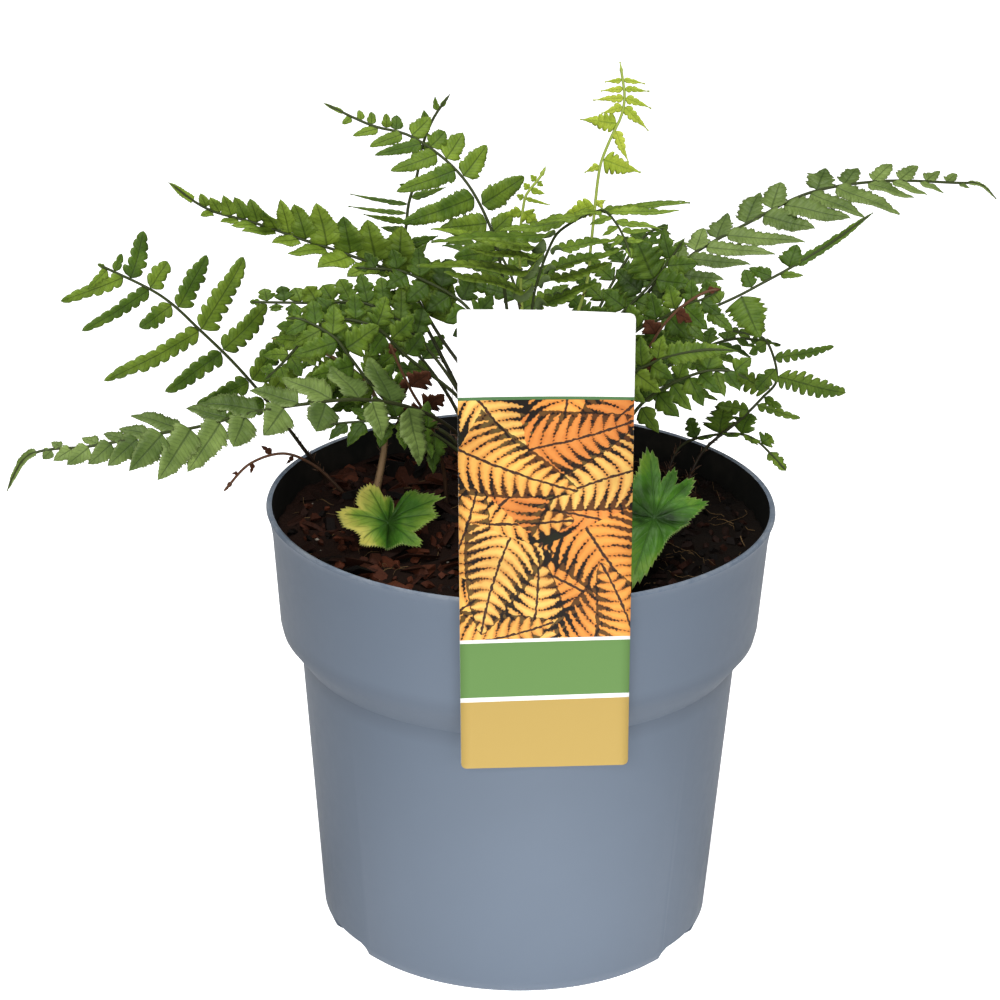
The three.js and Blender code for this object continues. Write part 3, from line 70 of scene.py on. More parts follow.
def add_node(tree, kind, inputs=None, **settings):
    """A node with its settings, and its inputs set or linked."""
    made = tree.nodes.new(kind)
    for name, value in settings.items():
        setattr(made, name, value)
    for socket, value in (inputs or {}).items():
        if isinstance(value, bpy.types.NodeSocket):
            tree.links.new(value, made.inputs[socket])
        else:
            made.inputs[socket].default_value = value
    return made


def compute(tree, operation, first, second=0.0, third=0.0, clamp=False):
    """The result of a calculation on up to three values."""
    terms = {0: first, 1: second, 2: third}
    return add_node(tree, "ShaderNodeMath", terms, operation=operation, use_clamp=clamp).outputs[0]


def remap(tree, value, start, end, low=0.0, high=1.0, **settings):
    """A value's run from start to end, turned into one from low to high."""
    return add_node(tree, "ShaderNodeMapRange", {
        "Value": value, "From Min": start, "From Max": end, "To Min": low, "To Max": high},
        **settings).outputs[0]


def object_place(tree):
    """Where a point of the surface lies in the plant's own frame."""
    return add_node(tree, "ShaderNodeTexCoord").outputs["Object"]


BACKDROP_BRIGHTNESS = 1.0
ROOM_BRIGHTNESS = 0.13
world = bpy.data.worlds.new("studio")
world.use_nodes = True
seen_directly = add_node(world.node_tree, "ShaderNodeLightPath").outputs["Is Camera Ray"]
world.node_tree.links.new(
    remap(world.node_tree, seen_directly, 0.0, 1.0, ROOM_BRIGHTNESS, BACKDROP_BRIGHTNESS),
    world.node_tree.nodes["Background"].inputs["Strength"])
world.node_tree.nodes["Background"].inputs["Color"].default_value = (1, 1, 1, 1)
bpy.context.scene.world = world

PLANT_MIDDLE = Vector((0, 0, 0.17))


def soft_lamp(name, place, size, power):
    """A square lamp that faces the middle of the plant."""
    data = bpy.data.lights.new(name, "AREA")
    data.size = size
    data.energy = power
    lamp = bpy.data.objects.new(name, data)
    lamp.location = place
    lamp.rotation_euler = (Vector(place) - PLANT_MIDDLE).to_track_quat("Z", "Y").to_euler()
    bpy.context.scene.collection.objects.link(lamp)


soft_lamp("key", (-0.3, -2.2, 1.15), size=0.8, power=32)
soft_lamp("fill", (0.8, -2.1, 0.7), size=0.9, power=14)
soft_lamp("top", (0, -0.2, 2.2), size=1.4, power=45)


def new_material(name):
    """An empty material with its Principled shader."""
    material = bpy.data.materials.new(name)
    material.use_nodes = True
    return material, material.node_tree, material.node_tree.nodes["Principled BSDF"]


FLOOR_SIZE = 12
FLOOR_BRIGHTNESS = 0.8
FLOOR_GLOW_CENTRE = (0.02, -0.2, 0)
FLOOR_GLOW_REACH = 0.24
FLOOR_GLOW_STRENGTH = 2.1
floor_mesh = bpy.data.meshes.new("floor")
floor_shape = bmesh.new()
bmesh.ops.create_grid(floor_shape, x_segments=1, y_segments=1, size=FLOOR_SIZE)
floor_shape.to_mesh(floor_mesh)
floor_shape.free()
floor = bpy.data.objects.new("floor", floor_mesh)
bpy.context.scene.collection.objects.link(floor)
floor_material, floor_tree, floor_shader = new_material("white_sweep")
floor_shader.inputs["Base Color"].default_value = (0.8, 0.8, 0.8, 1)
floor_shader.inputs["Roughness"].default_value = 0.9
floor_shader.inputs["Emission Color"].default_value = (1, 1, 1, 1)
# The sweep glows in a patch before the pot: a hidden lamp in place of light bounced onto the pot's foot
floor_reach = add_node(floor_tree, "ShaderNodeVectorMath", {
    0: object_place(floor_tree), 1: FLOOR_GLOW_CENTRE}, operation="DISTANCE").outputs["Value"]
floor_glow_patch = remap(floor_tree, floor_reach, 0.0, FLOOR_GLOW_REACH, FLOOR_GLOW_STRENGTH, 0.0)
floor_seen = add_node(floor_tree, "ShaderNodeLightPath").outputs["Is Camera Ray"]
floor_glow = compute(floor_tree, "MULTIPLY_ADD", floor_seen, FLOOR_BRIGHTNESS, floor_glow_patch)
floor_tree.links.new(floor_glow, floor_shader.inputs["Emission Strength"])
floor_mesh.materials.append(floor_material)


# The nursery pot: one thin injection-moulded wall of blue-grey plastic, with a rolled lip, a wide collar
# on a slanted shoulder, a tapered body, a raised floor and three arched notches cut in its foot ring.
POT_HEIGHT = 169.5 * MM
LIP_RADIUS = 95 * MM
LIP_WIDTH = 2.1 * MM
LIP_DEPTH = 11 * MM
LIP_SHOULDER = POT_HEIGHT - 0.4 * MM
COLLAR_TOP_RADIUS = 92.7 * MM
COLLAR_FOOT_RADIUS = 90 * MM
COLLAR_FOOT_HEIGHT = 124 * MM
SHOULDER_HEIGHT = 111 * MM
SHOULDER_RADIUS = 82 * MM
BODY_FOOT_RADIUS = 73.6 * MM
FOOT_RADIUS = 68 * MM
FOOT_CORNER = 6 * MM
WALL = 1.3 * MM
FLOOR_RISE = 3 * MM
FLOOR_RADIUS = 58.5 * MM
NOTCH_AZIMUTHS = (90, 210, 330)
NOTCH_WIDTH = 26 * MM
NOTCH_HEIGHT = 6.5 * MM
NOTCH_CORNER = 3 * MM
NOTCH_INNER_RADIUS = 56 * MM
DRAIN_AZIMUTHS = (30, 150, 270)
DRAIN_RADIUS = 5 * MM
DRAIN_CIRCLE = 36 * MM
POT_STEPS = 160


def turn(profile, steps):
    """A bmesh of a profile of (radius, height) points turned round Z."""
    shape = bmesh.new()
    verts = [shape.verts.new((radius, 0, height)) for radius, height in profile]
    edges = [shape.edges.new(pair) for pair in zip(verts, verts[1:])]
    bmesh.ops.spin(
        shape, geom=verts + edges, axis=(0, 0, 1), cent=(0, 0, 0), angle=2 * math.pi, steps=steps,
        use_merge=True)
    bmesh.ops.remove_doubles(shape, verts=shape.verts, dist=1e-6)
    bmesh.ops.recalc_face_normals(shape, faces=shape.faces)
    return shape


def thicken(piece, thickness, **settings):
    """Turn a piece's thin sheets into solid ones."""
    modifier = piece.modifiers.new("thickness", "SOLIDIFY")
    modifier.thickness = thickness
    for name, value in settings.items():
        setattr(modifier, name, value)


def make_piece(name, shape, materials, slot, *nodes):
    """A finished mesh as a piece of the plant, in place of the named nodes."""
    mesh = bpy.data.meshes.new(name)
    shape.to_mesh(mesh)
    shape.free()
    mesh.shade_smooth()
    for material in materials:
        mesh.materials.append(material)
    piece = bpy.data.objects.new(name, mesh)
    bpy.context.scene.collection.objects.link(piece)
    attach(piece, "root")
    if nodes:
        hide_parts(*nodes)
    return piece


def notch_block(margin):
    """The arch of a notch as a block that points outwards from the pot's axis."""
    half = NOTCH_WIDTH / 2 + margin
    top = NOTCH_HEIGHT + margin
    inner = NOTCH_INNER_RADIUS - margin
    arch = [(half, -MM), (half, top - NOTCH_CORNER)]
    for step in range(1, 6):
        angle = step / 6 * math.pi / 2
        arch.append((
            half - NOTCH_CORNER * (1 - math.cos(angle)), top - NOTCH_CORNER * (1 - math.sin(angle))))
    arch.append((half - NOTCH_CORNER, top))
    arch += [(-across, height) for across, height in reversed(arch)]
    shape = bmesh.new()
    face = shape.faces.new([shape.verts.new((inner, across, height)) for across, height in arch])
    outward = bmesh.ops.extrude_face_region(shape, geom=[face])["geom"]
    moved = [item for item in outward if isinstance(item, bmesh.types.BMVert)]
    bmesh.ops.translate(shape, verts=moved, vec=(LIP_RADIUS - inner - 10 * MM, 0, 0))
    bmesh.ops.recalc_face_normals(shape, faces=shape.faces)
    return shape


def merge_shapes(shapes):
    """One bmesh of several, which stay separate shells."""
    merged = bmesh.new()
    for shape in shapes:
        mesh = bpy.data.meshes.new("part")
        shape.to_mesh(mesh)
        shape.free()
        merged.from_mesh(mesh)
        bpy.data.meshes.remove(mesh)
    return merged


def turned_copies(make_shape, azimuths):
    """Copies of a shape round the pot's axis, in one bmesh."""
    shapes = []
    for azimuth in azimuths:
        shape = make_shape()
        bmesh.ops.rotate(
            shape, verts=shape.verts, cent=(0, 0, 0), matrix=Matrix.Rotation(math.radians(azimuth), 3, "Z"))
        shapes.append(shape)
    return merge_shapes(shapes)


def drain_plug():
    """A round plug through the floor, to cut one drain hole."""
    shape = bmesh.new()
    bmesh.ops.create_cone(
        shape, cap_ends=True, segments=32, radius1=DRAIN_RADIUS, radius2=DRAIN_RADIUS, depth=4 * FLOOR_RISE)
    bmesh.ops.translate(shape, verts=shape.verts, vec=(DRAIN_CIRCLE, 0, 0))
    return shape


def carve(piece, shape, operation):
    """Join a shape to a piece, or cut it out of the piece."""
    mesh = bpy.data.meshes.new("cutter")
    shape.to_mesh(mesh)
    shape.free()
    cutter = bpy.data.objects.new("cutter", mesh)
    bpy.context.scene.collection.objects.link(cutter)
    modifier = piece.modifiers.new(operation.lower(), "BOOLEAN")
    modifier.operation = operation
    modifier.solver = "MANIFOLD"
    modifier.object = cutter
    bpy.context.view_layer.update()
    graph = bpy.context.evaluated_depsgraph_get()
    carved = bpy.data.meshes.new_from_object(piece.evaluated_get(graph))
    piece.modifiers.clear()
    bare = piece.data
    piece.data = carved
    bpy.data.meshes.remove(bare)
    bpy.data.objects.remove(cutter)


pot_outer = [
    (0, FLOOR_RISE), (FLOOR_RADIUS, FLOOR_RISE), (FLOOR_RADIUS + 1.5 * MM, 0), (FOOT_RADIUS, 0),
    (FOOT_RADIUS + 2 * MM, 0.5 * MM), (FOOT_RADIUS + 4 * MM, 2.2 * MM), (BODY_FOOT_RADIUS, FOOT_CORNER),
    (SHOULDER_RADIUS, SHOULDER_HEIGHT), (COLLAR_FOOT_RADIUS - 0.8 * MM, COLLAR_FOOT_HEIGHT - 3.5 * MM),
    (COLLAR_FOOT_RADIUS, COLLAR_FOOT_HEIGHT), (COLLAR_TOP_RADIUS, POT_HEIGHT - LIP_DEPTH),
    (LIP_RADIUS - 1.7 * MM, POT_HEIGHT - LIP_DEPTH + 3.5 * MM), (LIP_RADIUS - 1.1 * MM, POT_HEIGHT - 4 * MM),
    (LIP_RADIUS - 0.7 * MM, POT_HEIGHT - 2.4 * MM), (LIP_RADIUS, POT_HEIGHT - 1.3 * MM),
    (LIP_RADIUS - 0.3 * MM, LIP_SHOULDER),
]
pot_inner = [
    (LIP_RADIUS - LIP_WIDTH / 2, POT_HEIGHT), (LIP_RADIUS - LIP_WIDTH, POT_HEIGHT - 0.5 * MM),
    (COLLAR_TOP_RADIUS - WALL, POT_HEIGHT - LIP_DEPTH),
    (COLLAR_FOOT_RADIUS - WALL, COLLAR_FOOT_HEIGHT + 0.5 * MM),
    (COLLAR_FOOT_RADIUS - 0.8 * MM - WALL, COLLAR_FOOT_HEIGHT - 2.8 * MM),
    (SHOULDER_RADIUS - WALL, SHOULDER_HEIGHT + 0.6 * MM), (BODY_FOOT_RADIUS - WALL, FOOT_CORNER + 0.5 * MM),
    (FOOT_RADIUS, WALL + 0.2 * MM), (FLOOR_RADIUS + 2 * MM, WALL + 0.2 * MM),
    (FLOOR_RADIUS, FLOOR_RISE + WALL), (0, FLOOR_RISE + WALL),
]


def noise_on(tree, place, scale, detail=2.0, **inputs):
    """Cloudy noise from 0 to 1, with about "scale" clouds to the metre."""
    return add_node(tree, "ShaderNodeTexNoise", {
        "Vector": place, "Scale": scale, "Detail": detail, **inputs}).outputs["Fac"]


def mix_colours(tree, share, under, over, blend="MIX"):
    """One colour over another, by a share from 0 to 1."""
    return add_node(tree, "ShaderNodeMix", {"Factor": share, "A": under, "B": over}, data_type="RGBA",
                    blend_type=blend).outputs["Result"]


def uneven_sheen_group():
    """Fine uneven sheen: a Roughness around the given one and a Height for a bump."""
    group = bpy.data.node_groups.new("uneven_sheen", "ShaderNodeTree")
    for name, value in (("Scale", 100.0), ("Roughness", 0.4), ("Spread", 0.1)):
        group.interface.new_socket(name, in_out="INPUT", socket_type="NodeSocketFloat").default_value = value
    for name in ("Roughness", "Height"):
        group.interface.new_socket(name, in_out="OUTPUT", socket_type="NodeSocketFloat")
    entry = group.nodes.new("NodeGroupInput")
    fine = noise_on(group, object_place(group), entry.outputs["Scale"], 6.0)
    centred = compute(group, "SUBTRACT", fine, 0.5)
    spread = compute(group, "MULTIPLY_ADD", centred, entry.outputs["Spread"], entry.outputs["Roughness"])
    leave = group.nodes.new("NodeGroupOutput")
    group.links.new(spread, leave.inputs["Roughness"])
    group.links.new(fine, leave.inputs["Height"])
    return group


uneven_sheen = uneven_sheen_group()


def add_sheen(tree, shader, scale, roughness, spread):
    """Let a surface's roughness waver; returns the height that goes with it."""
    sheen = add_node(tree, "ShaderNodeGroup", {
        "Scale": scale, "Roughness": roughness, "Spread": spread}, node_tree=uneven_sheen)
    tree.links.new(sheen.outputs["Roughness"], shader.inputs["Roughness"])
    return sheen.outputs["Height"]


def add_bump(tree, shader, height, strength, depth):
    """Fine relief on a surface."""
    bump = add_node(tree, "ShaderNodeBump", {"Height": height, "Strength": strength, "Distance": depth})
    tree.links.new(bump.outputs["Normal"], shader.inputs["Normal"])


# The pot's finish: faint clouds in the blue grey, scuffs that thicken towards the foot, painted shade round
# the shoulder, fine upright streaks and a painted highlight on the lip's edge. Inside it is black and dusty.
POT_DARKER = (0.10137, 0.12834, 0.16926, 1)
POT_LIGHTER = (0.11663, 0.14766, 0.19474, 1)
POT_WORN = (0.165, 0.2, 0.245, 1)
POT_WORN_BELOW = 30 * MM
POT_PAINTED_SHADE = (0.012, 0.014, 0.018, 1)
POT_PAINTED_SHADE_HEIGHT = SHOULDER_HEIGHT + 5 * MM
POT_EDGE_HIGHLIGHT = (0.19, 0.215, 0.25, 1)
pot_material, pot_tree, pot_shader = new_material("blue_grey_plastic")
pot_place = object_place(pot_tree)
pot_height = add_node(pot_tree, "ShaderNodeSeparateXYZ", {"Vector": pot_place}).outputs["Z"]
pot_colour = mix_colours(pot_tree, noise_on(pot_tree, pot_place, 14.0, 4.0), POT_DARKER, POT_LIGHTER)
pot_scuffs = noise_on(pot_tree, pot_place, 55.0, 8.0, Roughness=0.75, Distortion=1.2)
pot_scuffed = remap(pot_tree, pot_scuffs, 0.66, 0.78)
pot_low = remap(pot_tree, pot_height, POT_WORN_BELOW, 0.0, 0.12, 1.0)
pot_wear = compute(pot_tree, "MULTIPLY", pot_scuffed, pot_low)
pot_colour = mix_colours(pot_tree, pot_wear, pot_colour, POT_WORN)
# Painted shade: a darker belt round the shoulder, where the collar steps in, set by height alone
pot_off_shoulder = compute(pot_tree, "SUBTRACT", pot_height, POT_PAINTED_SHADE_HEIGHT)
pot_off_shoulder = compute(pot_tree, "ABSOLUTE", pot_off_shoulder)
pot_painted_shade = remap(pot_tree, pot_off_shoulder, 12 * MM, 4 * MM, 0.0, 0.24)
pot_colour = mix_colours(pot_tree, pot_painted_shade, pot_colour, POT_PAINTED_SHADE)
# Painted highlight: a lighter, broken line along the top of the lip that stands in for its glints
pot_edge = remap(pot_tree, pot_height, POT_HEIGHT - 1.6 * MM, POT_HEIGHT - 0.7 * MM)
pot_painted_glint = compute(pot_tree, "MULTIPLY", pot_edge, remap(pot_tree, pot_scuffs, 0.42, 0.62))
pot_colour = mix_colours(pot_tree, pot_painted_glint, pot_colour, POT_EDGE_HIGHLIGHT)
pot_tree.links.new(pot_colour, pot_shader.inputs["Base Color"])
pot_shader.inputs["Specular IOR Level"].default_value = 0.22
add_sheen(pot_tree, pot_shader, 240, 0.45, 0.12)
pot_streaks_place = add_node(
    pot_tree, "ShaderNodeMapping", {"Vector": pot_place, "Scale": (90.0, 90.0, 6.0)}).outputs[0]
add_bump(pot_tree, pot_shader, noise_on(pot_tree, pot_streaks_place, 1.0, 3.0), 0.12, 0.3 * MM)

POT_INSIDE = (0.006, 0.006, 0.005, 1)
POT_INSIDE_DUST = (0.03, 0.024, 0.018, 1)
inside_material, inside_tree, inside_shader = new_material("black_plastic")
inside_dust = noise_on(inside_tree, object_place(inside_tree), 60.0, 7.0, Roughness=0.7)
inside_dusty = remap(inside_tree, inside_dust, 0.5, 0.8, 0.0, 0.6)
inside_tree.links.new(
    mix_colours(inside_tree, inside_dusty, POT_INSIDE, POT_INSIDE_DUST), inside_shader.inputs["Base Color"])
inside_shader.inputs["Specular IOR Level"].default_value = 0.25
add_sheen(inside_tree, inside_shader, 240, 0.5, 0.2)

pot = make_piece(
    "pot_wall", turn(pot_outer + pot_inner, POT_STEPS), [pot_material, inside_material], "pot", "nursery_pot")
pot_outside = turn(pot_outer + [(0, LIP_SHOULDER)], POT_STEPS)
hoods = make_piece("hoods", turned_copies(lambda: notch_block(WALL), NOTCH_AZIMUTHS), [], "pot")
carve(hoods, pot_outside, "INTERSECT")
hood_shape = bmesh.new()
hood_shape.from_mesh(hoods.data)
bpy.data.objects.remove(hoods)
carve(pot, hood_shape, "UNION")
carve(pot, turned_copies(lambda: notch_block(0), NOTCH_AZIMUTHS), "DIFFERENCE")
carve(pot, turned_copies(drain_plug, DRAIN_AZIMUTHS), "DIFFERENCE")
pot.data.shade_smooth()
for polygon in pot.data.polygons:
    # Faces that look inwards or up, between the floor and the lip, take the black plastic
    outward = Vector((polygon.center.x, polygon.center.y, 0)).normalized()
    inward_facing = polygon.normal.dot(outward) < -0.3 or polygon.normal.z > 0.9
    if inward_facing and FLOOR_RISE + WALL / 2 < polygon.center.z < POT_HEIGHT - MM:
        polygon.material_index = 1
pot_rounding = pot.modifiers.new("rounding", "BEVEL")
pot_rounding.width = 0.5 * MM
pot_rounding.segments = 2
pot_rounding.limit_method = "ANGLE"
pot_rounding.angle_limit = math.radians(32)
pot_rounding.harden_normals = True


# The compost: shredded bark, peat and roots, filled to a finger's width under the lip and mounded round
# the plant. Reddish bark chips lie on its left, fine roots and straw on its right, with a few pale grits.
GAP = 0.3 * MM
SOIL_EDGE_HEIGHT = 157.5 * MM
SOIL_MOUND = 3.5 * MM
SOIL_LUMPS = 0.9 * MM
SOIL_RADIUS = COLLAR_TOP_RADIUS - WALL - GAP - 0.1 * MM
SOIL_RINGS = 44


def series(seed):
    """A repeatable series of numbers from 0 to 1."""
    state = seed
    while True:
        state = (state * 1664525 + 1013904223) % 4294967296
        yield state / 4294967296


def mound_height(radius):
    return SOIL_EDGE_HEIGHT + SOIL_MOUND * (1 - (radius / SOIL_RADIUS) ** 2)


def soil_height(x, y):
    """The height of the compost's surface, with its lumps and crumbs."""
    wide, deep = x / MM, y / MM
    lumps = math.sin(wide * 0.21 + 1) * math.cos(deep * 0.17) + 0.6 * math.sin(wide * 0.43 - deep * 0.51)
    crumbs = noise.fractal(Vector((x, y, 0)) * 160, 0.7, 2.1, 5)
    return mound_height(math.hypot(x, y)) + SOIL_LUMPS * lumps + 1.1 * MM * crumbs


soil_profile = [
    (0, FLOOR_RISE + WALL + GAP), (FOOT_RADIUS + 2 * MM, FLOOR_RISE + WALL + GAP),
    (BODY_FOOT_RADIUS - WALL - GAP, FOOT_CORNER + 2 * MM),
    (SHOULDER_RADIUS - WALL - GAP, SHOULDER_HEIGHT + 0.4 * MM),
    (COLLAR_FOOT_RADIUS - WALL - GAP, COLLAR_FOOT_HEIGHT + 0.6 * MM), (SOIL_RADIUS, SOIL_EDGE_HEIGHT - MM),
] + [(SOIL_RADIUS * (1 - ring / SOIL_RINGS), SOIL_EDGE_HEIGHT) for ring in range(SOIL_RINGS + 1)]
soil_shape = turn(soil_profile, POT_STEPS)
for vert in soil_shape.verts:
    if vert.co.z > SOIL_EDGE_HEIGHT - 0.5 * MM:
        vert.co.z = soil_height(vert.co.x, vert.co.y)

COMPOST_SHADOW = (0.0008, 0.0005, 0.0003, 1)
COMPOST_CRUMB = (0.01, 0.0055, 0.003, 1)
COMPOST_RED = (0.02, 0.0065, 0.0035, 1)
soil_material, soil_tree, soil_shader = new_material("bark_compost")
soil_place = object_place(soil_tree)
soil_crumbs = noise_on(soil_tree, soil_place, 190.0, 9.0, Roughness=0.7)
soil_side = add_node(soil_tree, "ShaderNodeSeparateXYZ", {"Vector": soil_place}).outputs["X"]
soil_left = remap(soil_tree, soil_side, 40 * MM, -50 * MM)
soil_red = compute(soil_tree, "MULTIPLY", soil_left, noise_on(soil_tree, soil_place, 28.0, 3.0))
soil_colour = mix_colours(soil_tree, soil_crumbs, COMPOST_SHADOW, COMPOST_CRUMB)
soil_colour = mix_colours(soil_tree, soil_red, soil_colour, COMPOST_RED)
soil_tree.links.new(soil_colour, soil_shader.inputs["Base Color"])
soil_shader.inputs["Roughness"].default_value = 0.9
soil_shader.inputs["Specular IOR Level"].default_value = 0.1
add_bump(soil_tree, soil_shader, soil_crumbs, 1.0, 2.4 * MM)
make_piece("compost", soil_shape, [soil_material], "soil", "potting_soil")

CHIPS = 900
GRITS = 60
FIBRES = 220


def scatter_place(draws, spread):
    """A random place on the compost, up to a share of its radius."""
    radius = SOIL_RADIUS * spread * math.sqrt(next(draws))
    azimuth = 2 * math.pi * next(draws)
    return radius * math.cos(azimuth), radius * math.sin(azimuth)


def lay_chip(shape, draws, shade_layer):
    """One flake of bark: a flat five-cornered block with worn corners, half sunk and tipped."""
    x, y = scatter_place(draws, 0.94)
    left = min(1, max(0, 0.5 - x / (90 * MM)))
    long = (1.4 + 8.5 * next(draws) ** 3 * (0.5 + 0.6 * left)) * MM
    flake = bmesh.ops.create_cone(
        shape, cap_ends=True, segments=5, radius1=long, radius2=long * (0.55 + 0.35 * next(draws)),
        depth=(0.9 + 1.6 * next(draws)) * MM)["verts"]
    for vert in flake:
        vert.co.y *= 0.42 + 0.2 * next(draws)
        vert.co += Vector((next(draws) - 0.5, next(draws) - 0.5, 0)) * long * 0.3
    tip = Matrix.Rotation(2 * math.pi * next(draws), 3, "Z") @ Matrix.Rotation(
        1.7 * (next(draws) - 0.5), 3, "X") @ Matrix.Rotation(1.5 * (next(draws) - 0.5), 3, "Y")
    bmesh.ops.rotate(shape, verts=flake, cent=(0, 0, 0), matrix=tip)
    bmesh.ops.translate(shape, verts=flake, vec=(x, y, soil_height(x, y) + 0.5 * MM))
    shade = next(draws) ** 2 * (0.25 + 0.75 * left)
    for vert in flake:
        vert[shade_layer] = shade


chip_draws = series(71)
chip_shape = bmesh.new()
chip_shades = chip_shape.verts.layers.float.new("shade")
for _ in range(CHIPS):
    lay_chip(chip_shape, chip_draws, chip_shades)
BARK_DARK = (0.002, 0.0012, 0.0007, 1)
BARK_RED = (0.075, 0.021, 0.009, 1)
chip_material, chip_tree, chip_shader = new_material("bark")
chip_grain = noise_on(chip_tree, object_place(chip_tree), 420.0, 5.0, Roughness=0.7)
chip_shade = add_node(chip_tree, "ShaderNodeAttribute", attribute_name="shade").outputs["Fac"]
chip_colour = mix_colours(chip_tree, chip_shade, BARK_DARK, BARK_RED)
chip_gain = mix_colours(chip_tree, chip_grain, (0.35, 0.35, 0.35, 1), (1.4, 1.3, 1.25, 1))
chip_colour = mix_colours(chip_tree, 1.0, chip_colour, chip_gain, "MULTIPLY")
chip_tree.links.new(chip_colour, chip_shader.inputs["Base Color"])
chip_shader.inputs["Roughness"].default_value = 0.7
chip_shader.inputs["Specular IOR Level"].default_value = 0.1
add_bump(chip_tree, chip_shader, chip_grain, 0.7, 0.6 * MM)
chips = make_piece("bark_chips", chip_shape, [chip_material], "soil")
for polygon in chips.data.polygons:
    polygon.use_smooth = False


def bend_strip(shape, place, columns, rows):
    """A grid bent by place(along, across), along from 0 to 1, across from -1 to 1, with its seams closed."""
    verts = bmesh.ops.create_grid(shape, x_segments=columns, y_segments=rows, size=1)["verts"]
    for vert in verts:
        vert.co = place((vert.co.x + 1) / 2, vert.co.y)
    bmesh.ops.remove_doubles(shape, verts=verts, dist=1e-7)
    return [vert for vert in verts if vert.is_valid]


def grow_stem(shape, centre_at, side_at, up_at, radius_at, columns, rows):
    """A round stem along a line, closed at both ends."""
    def place(along, across):
        angle = math.pi * across
        radius = radius_at(along) if 0.001 < along < 0.999 else 0
        return centre_at(along) + (
            side_at(along) * math.cos(angle) + up_at(along) * math.sin(angle)) * radius
    return bend_strip(shape, place, columns, rows)


def lay_fibre(shape, draws):
    """A thin root or straw that curls over the compost, and lifts off it here and there."""
    x, y = scatter_place(draws, 0.95)
    if next(draws) < 0.55:
        x = abs(x)
    heading = 2 * math.pi * next(draws)
    curl = 2.6 * (next(draws) - 0.5)
    length = (6 + 22 * next(draws) ** 2) * MM
    radius = (0.09 + 0.16 * next(draws)) * MM
    rise = (0.4 + 2.4 * next(draws) ** 3) * MM

    def centre_at(along):
        turn_by = heading + curl * along
        place_x = x + length * (along - 0.5) * math.cos(turn_by)
        place_y = y + length * (along - 0.5) * math.sin(turn_by)
        shrink = min(1, 0.965 * SOIL_RADIUS / max(1e-6, math.hypot(place_x, place_y)))
        ground = soil_height(place_x * shrink, place_y * shrink)
        return Vector((place_x * shrink, place_y * shrink, ground + rise * math.sin(math.pi * along)))
    side = Vector((-math.sin(heading), math.cos(heading), 0))
    grow_stem(shape, centre_at, lambda _: side, lambda _: Vector((0, 0, 1)), lambda _: radius, 9, 3)


fibre_draws = series(29)
fibre_shape = bmesh.new()
for _ in range(FIBRES):
    lay_fibre(fibre_shape, fibre_draws)
ROOT_DARK = (0.006, 0.004, 0.002, 1)
STRAW = (0.2, 0.12, 0.05, 1)
fibre_material, fibre_tree, fibre_shader = new_material("roots_and_straw")
fibre_patches = noise_on(fibre_tree, object_place(fibre_tree), 45.0)
fibre_tree.links.new(
    mix_colours(fibre_tree, fibre_patches, ROOT_DARK, STRAW), fibre_shader.inputs["Base Color"])
fibre_shader.inputs["Roughness"].default_value = 0.7
fibre_shader.inputs["Specular IOR Level"].default_value = 0.15
make_piece("soil_fibres", fibre_shape, [fibre_material], "soil")

grit_draws = series(17)
grit_shape = bmesh.new()
for _ in range(GRITS):
    grit_x, grit_y = scatter_place(grit_draws, 0.93)
    grit_radius = (0.3 + 0.6 * next(grit_draws)) * MM
    grit = bmesh.ops.create_icosphere(grit_shape, subdivisions=1, radius=grit_radius)["verts"]
    bmesh.ops.scale(grit_shape, verts=grit, vec=(1, 0.7, 0.6))
    bmesh.ops.translate(
        grit_shape, verts=grit, vec=(grit_x, grit_y, soil_height(grit_x, grit_y) + 0.3 * MM))
GRIT_DARK = (0.07, 0.055, 0.04, 1)
GRIT_PALE = (0.36, 0.32, 0.26, 1)
grit_material, grit_tree, grit_shader = new_material("pale_grit")
grit_specks = noise_on(grit_tree, object_place(grit_tree), 700.0)
grit_tree.links.new(
    mix_colours(grit_tree, grit_specks, GRIT_DARK, GRIT_PALE), grit_shader.inputs["Base Color"])
grit_shader.inputs["Roughness"].default_value = 0.85
make_piece("pale_grits", grit_shape, [grit_material], "soil")


# The crown: the top of the fern's short rhizome, a fluted brown knob with stubs of old stipes on it,
# thick with papery scales. The stipes grow out of it, and it stands a little way out of the compost.
CROWN_CENTRE = Vector((0, 8, 0)) * MM
CROWN_RADIUS = 19 * MM
CROWN_FOOT = 148 * MM
CROWN_TOP = 171 * MM
CROWN_FLUTES = 0.06
CROWN_FLUTE_COUNT = 5
CROWN_STEPS = 60
CROWN_SCALES = 420
STUB_AZIMUTHS = (-62, -105, 107)
STUB_LEAN = math.radians(12)
STUB_LENGTH = 12 * MM
STUB_FOOT_RADIUS = 2 * MM
STUB_TOP_RADIUS = 1.3 * MM

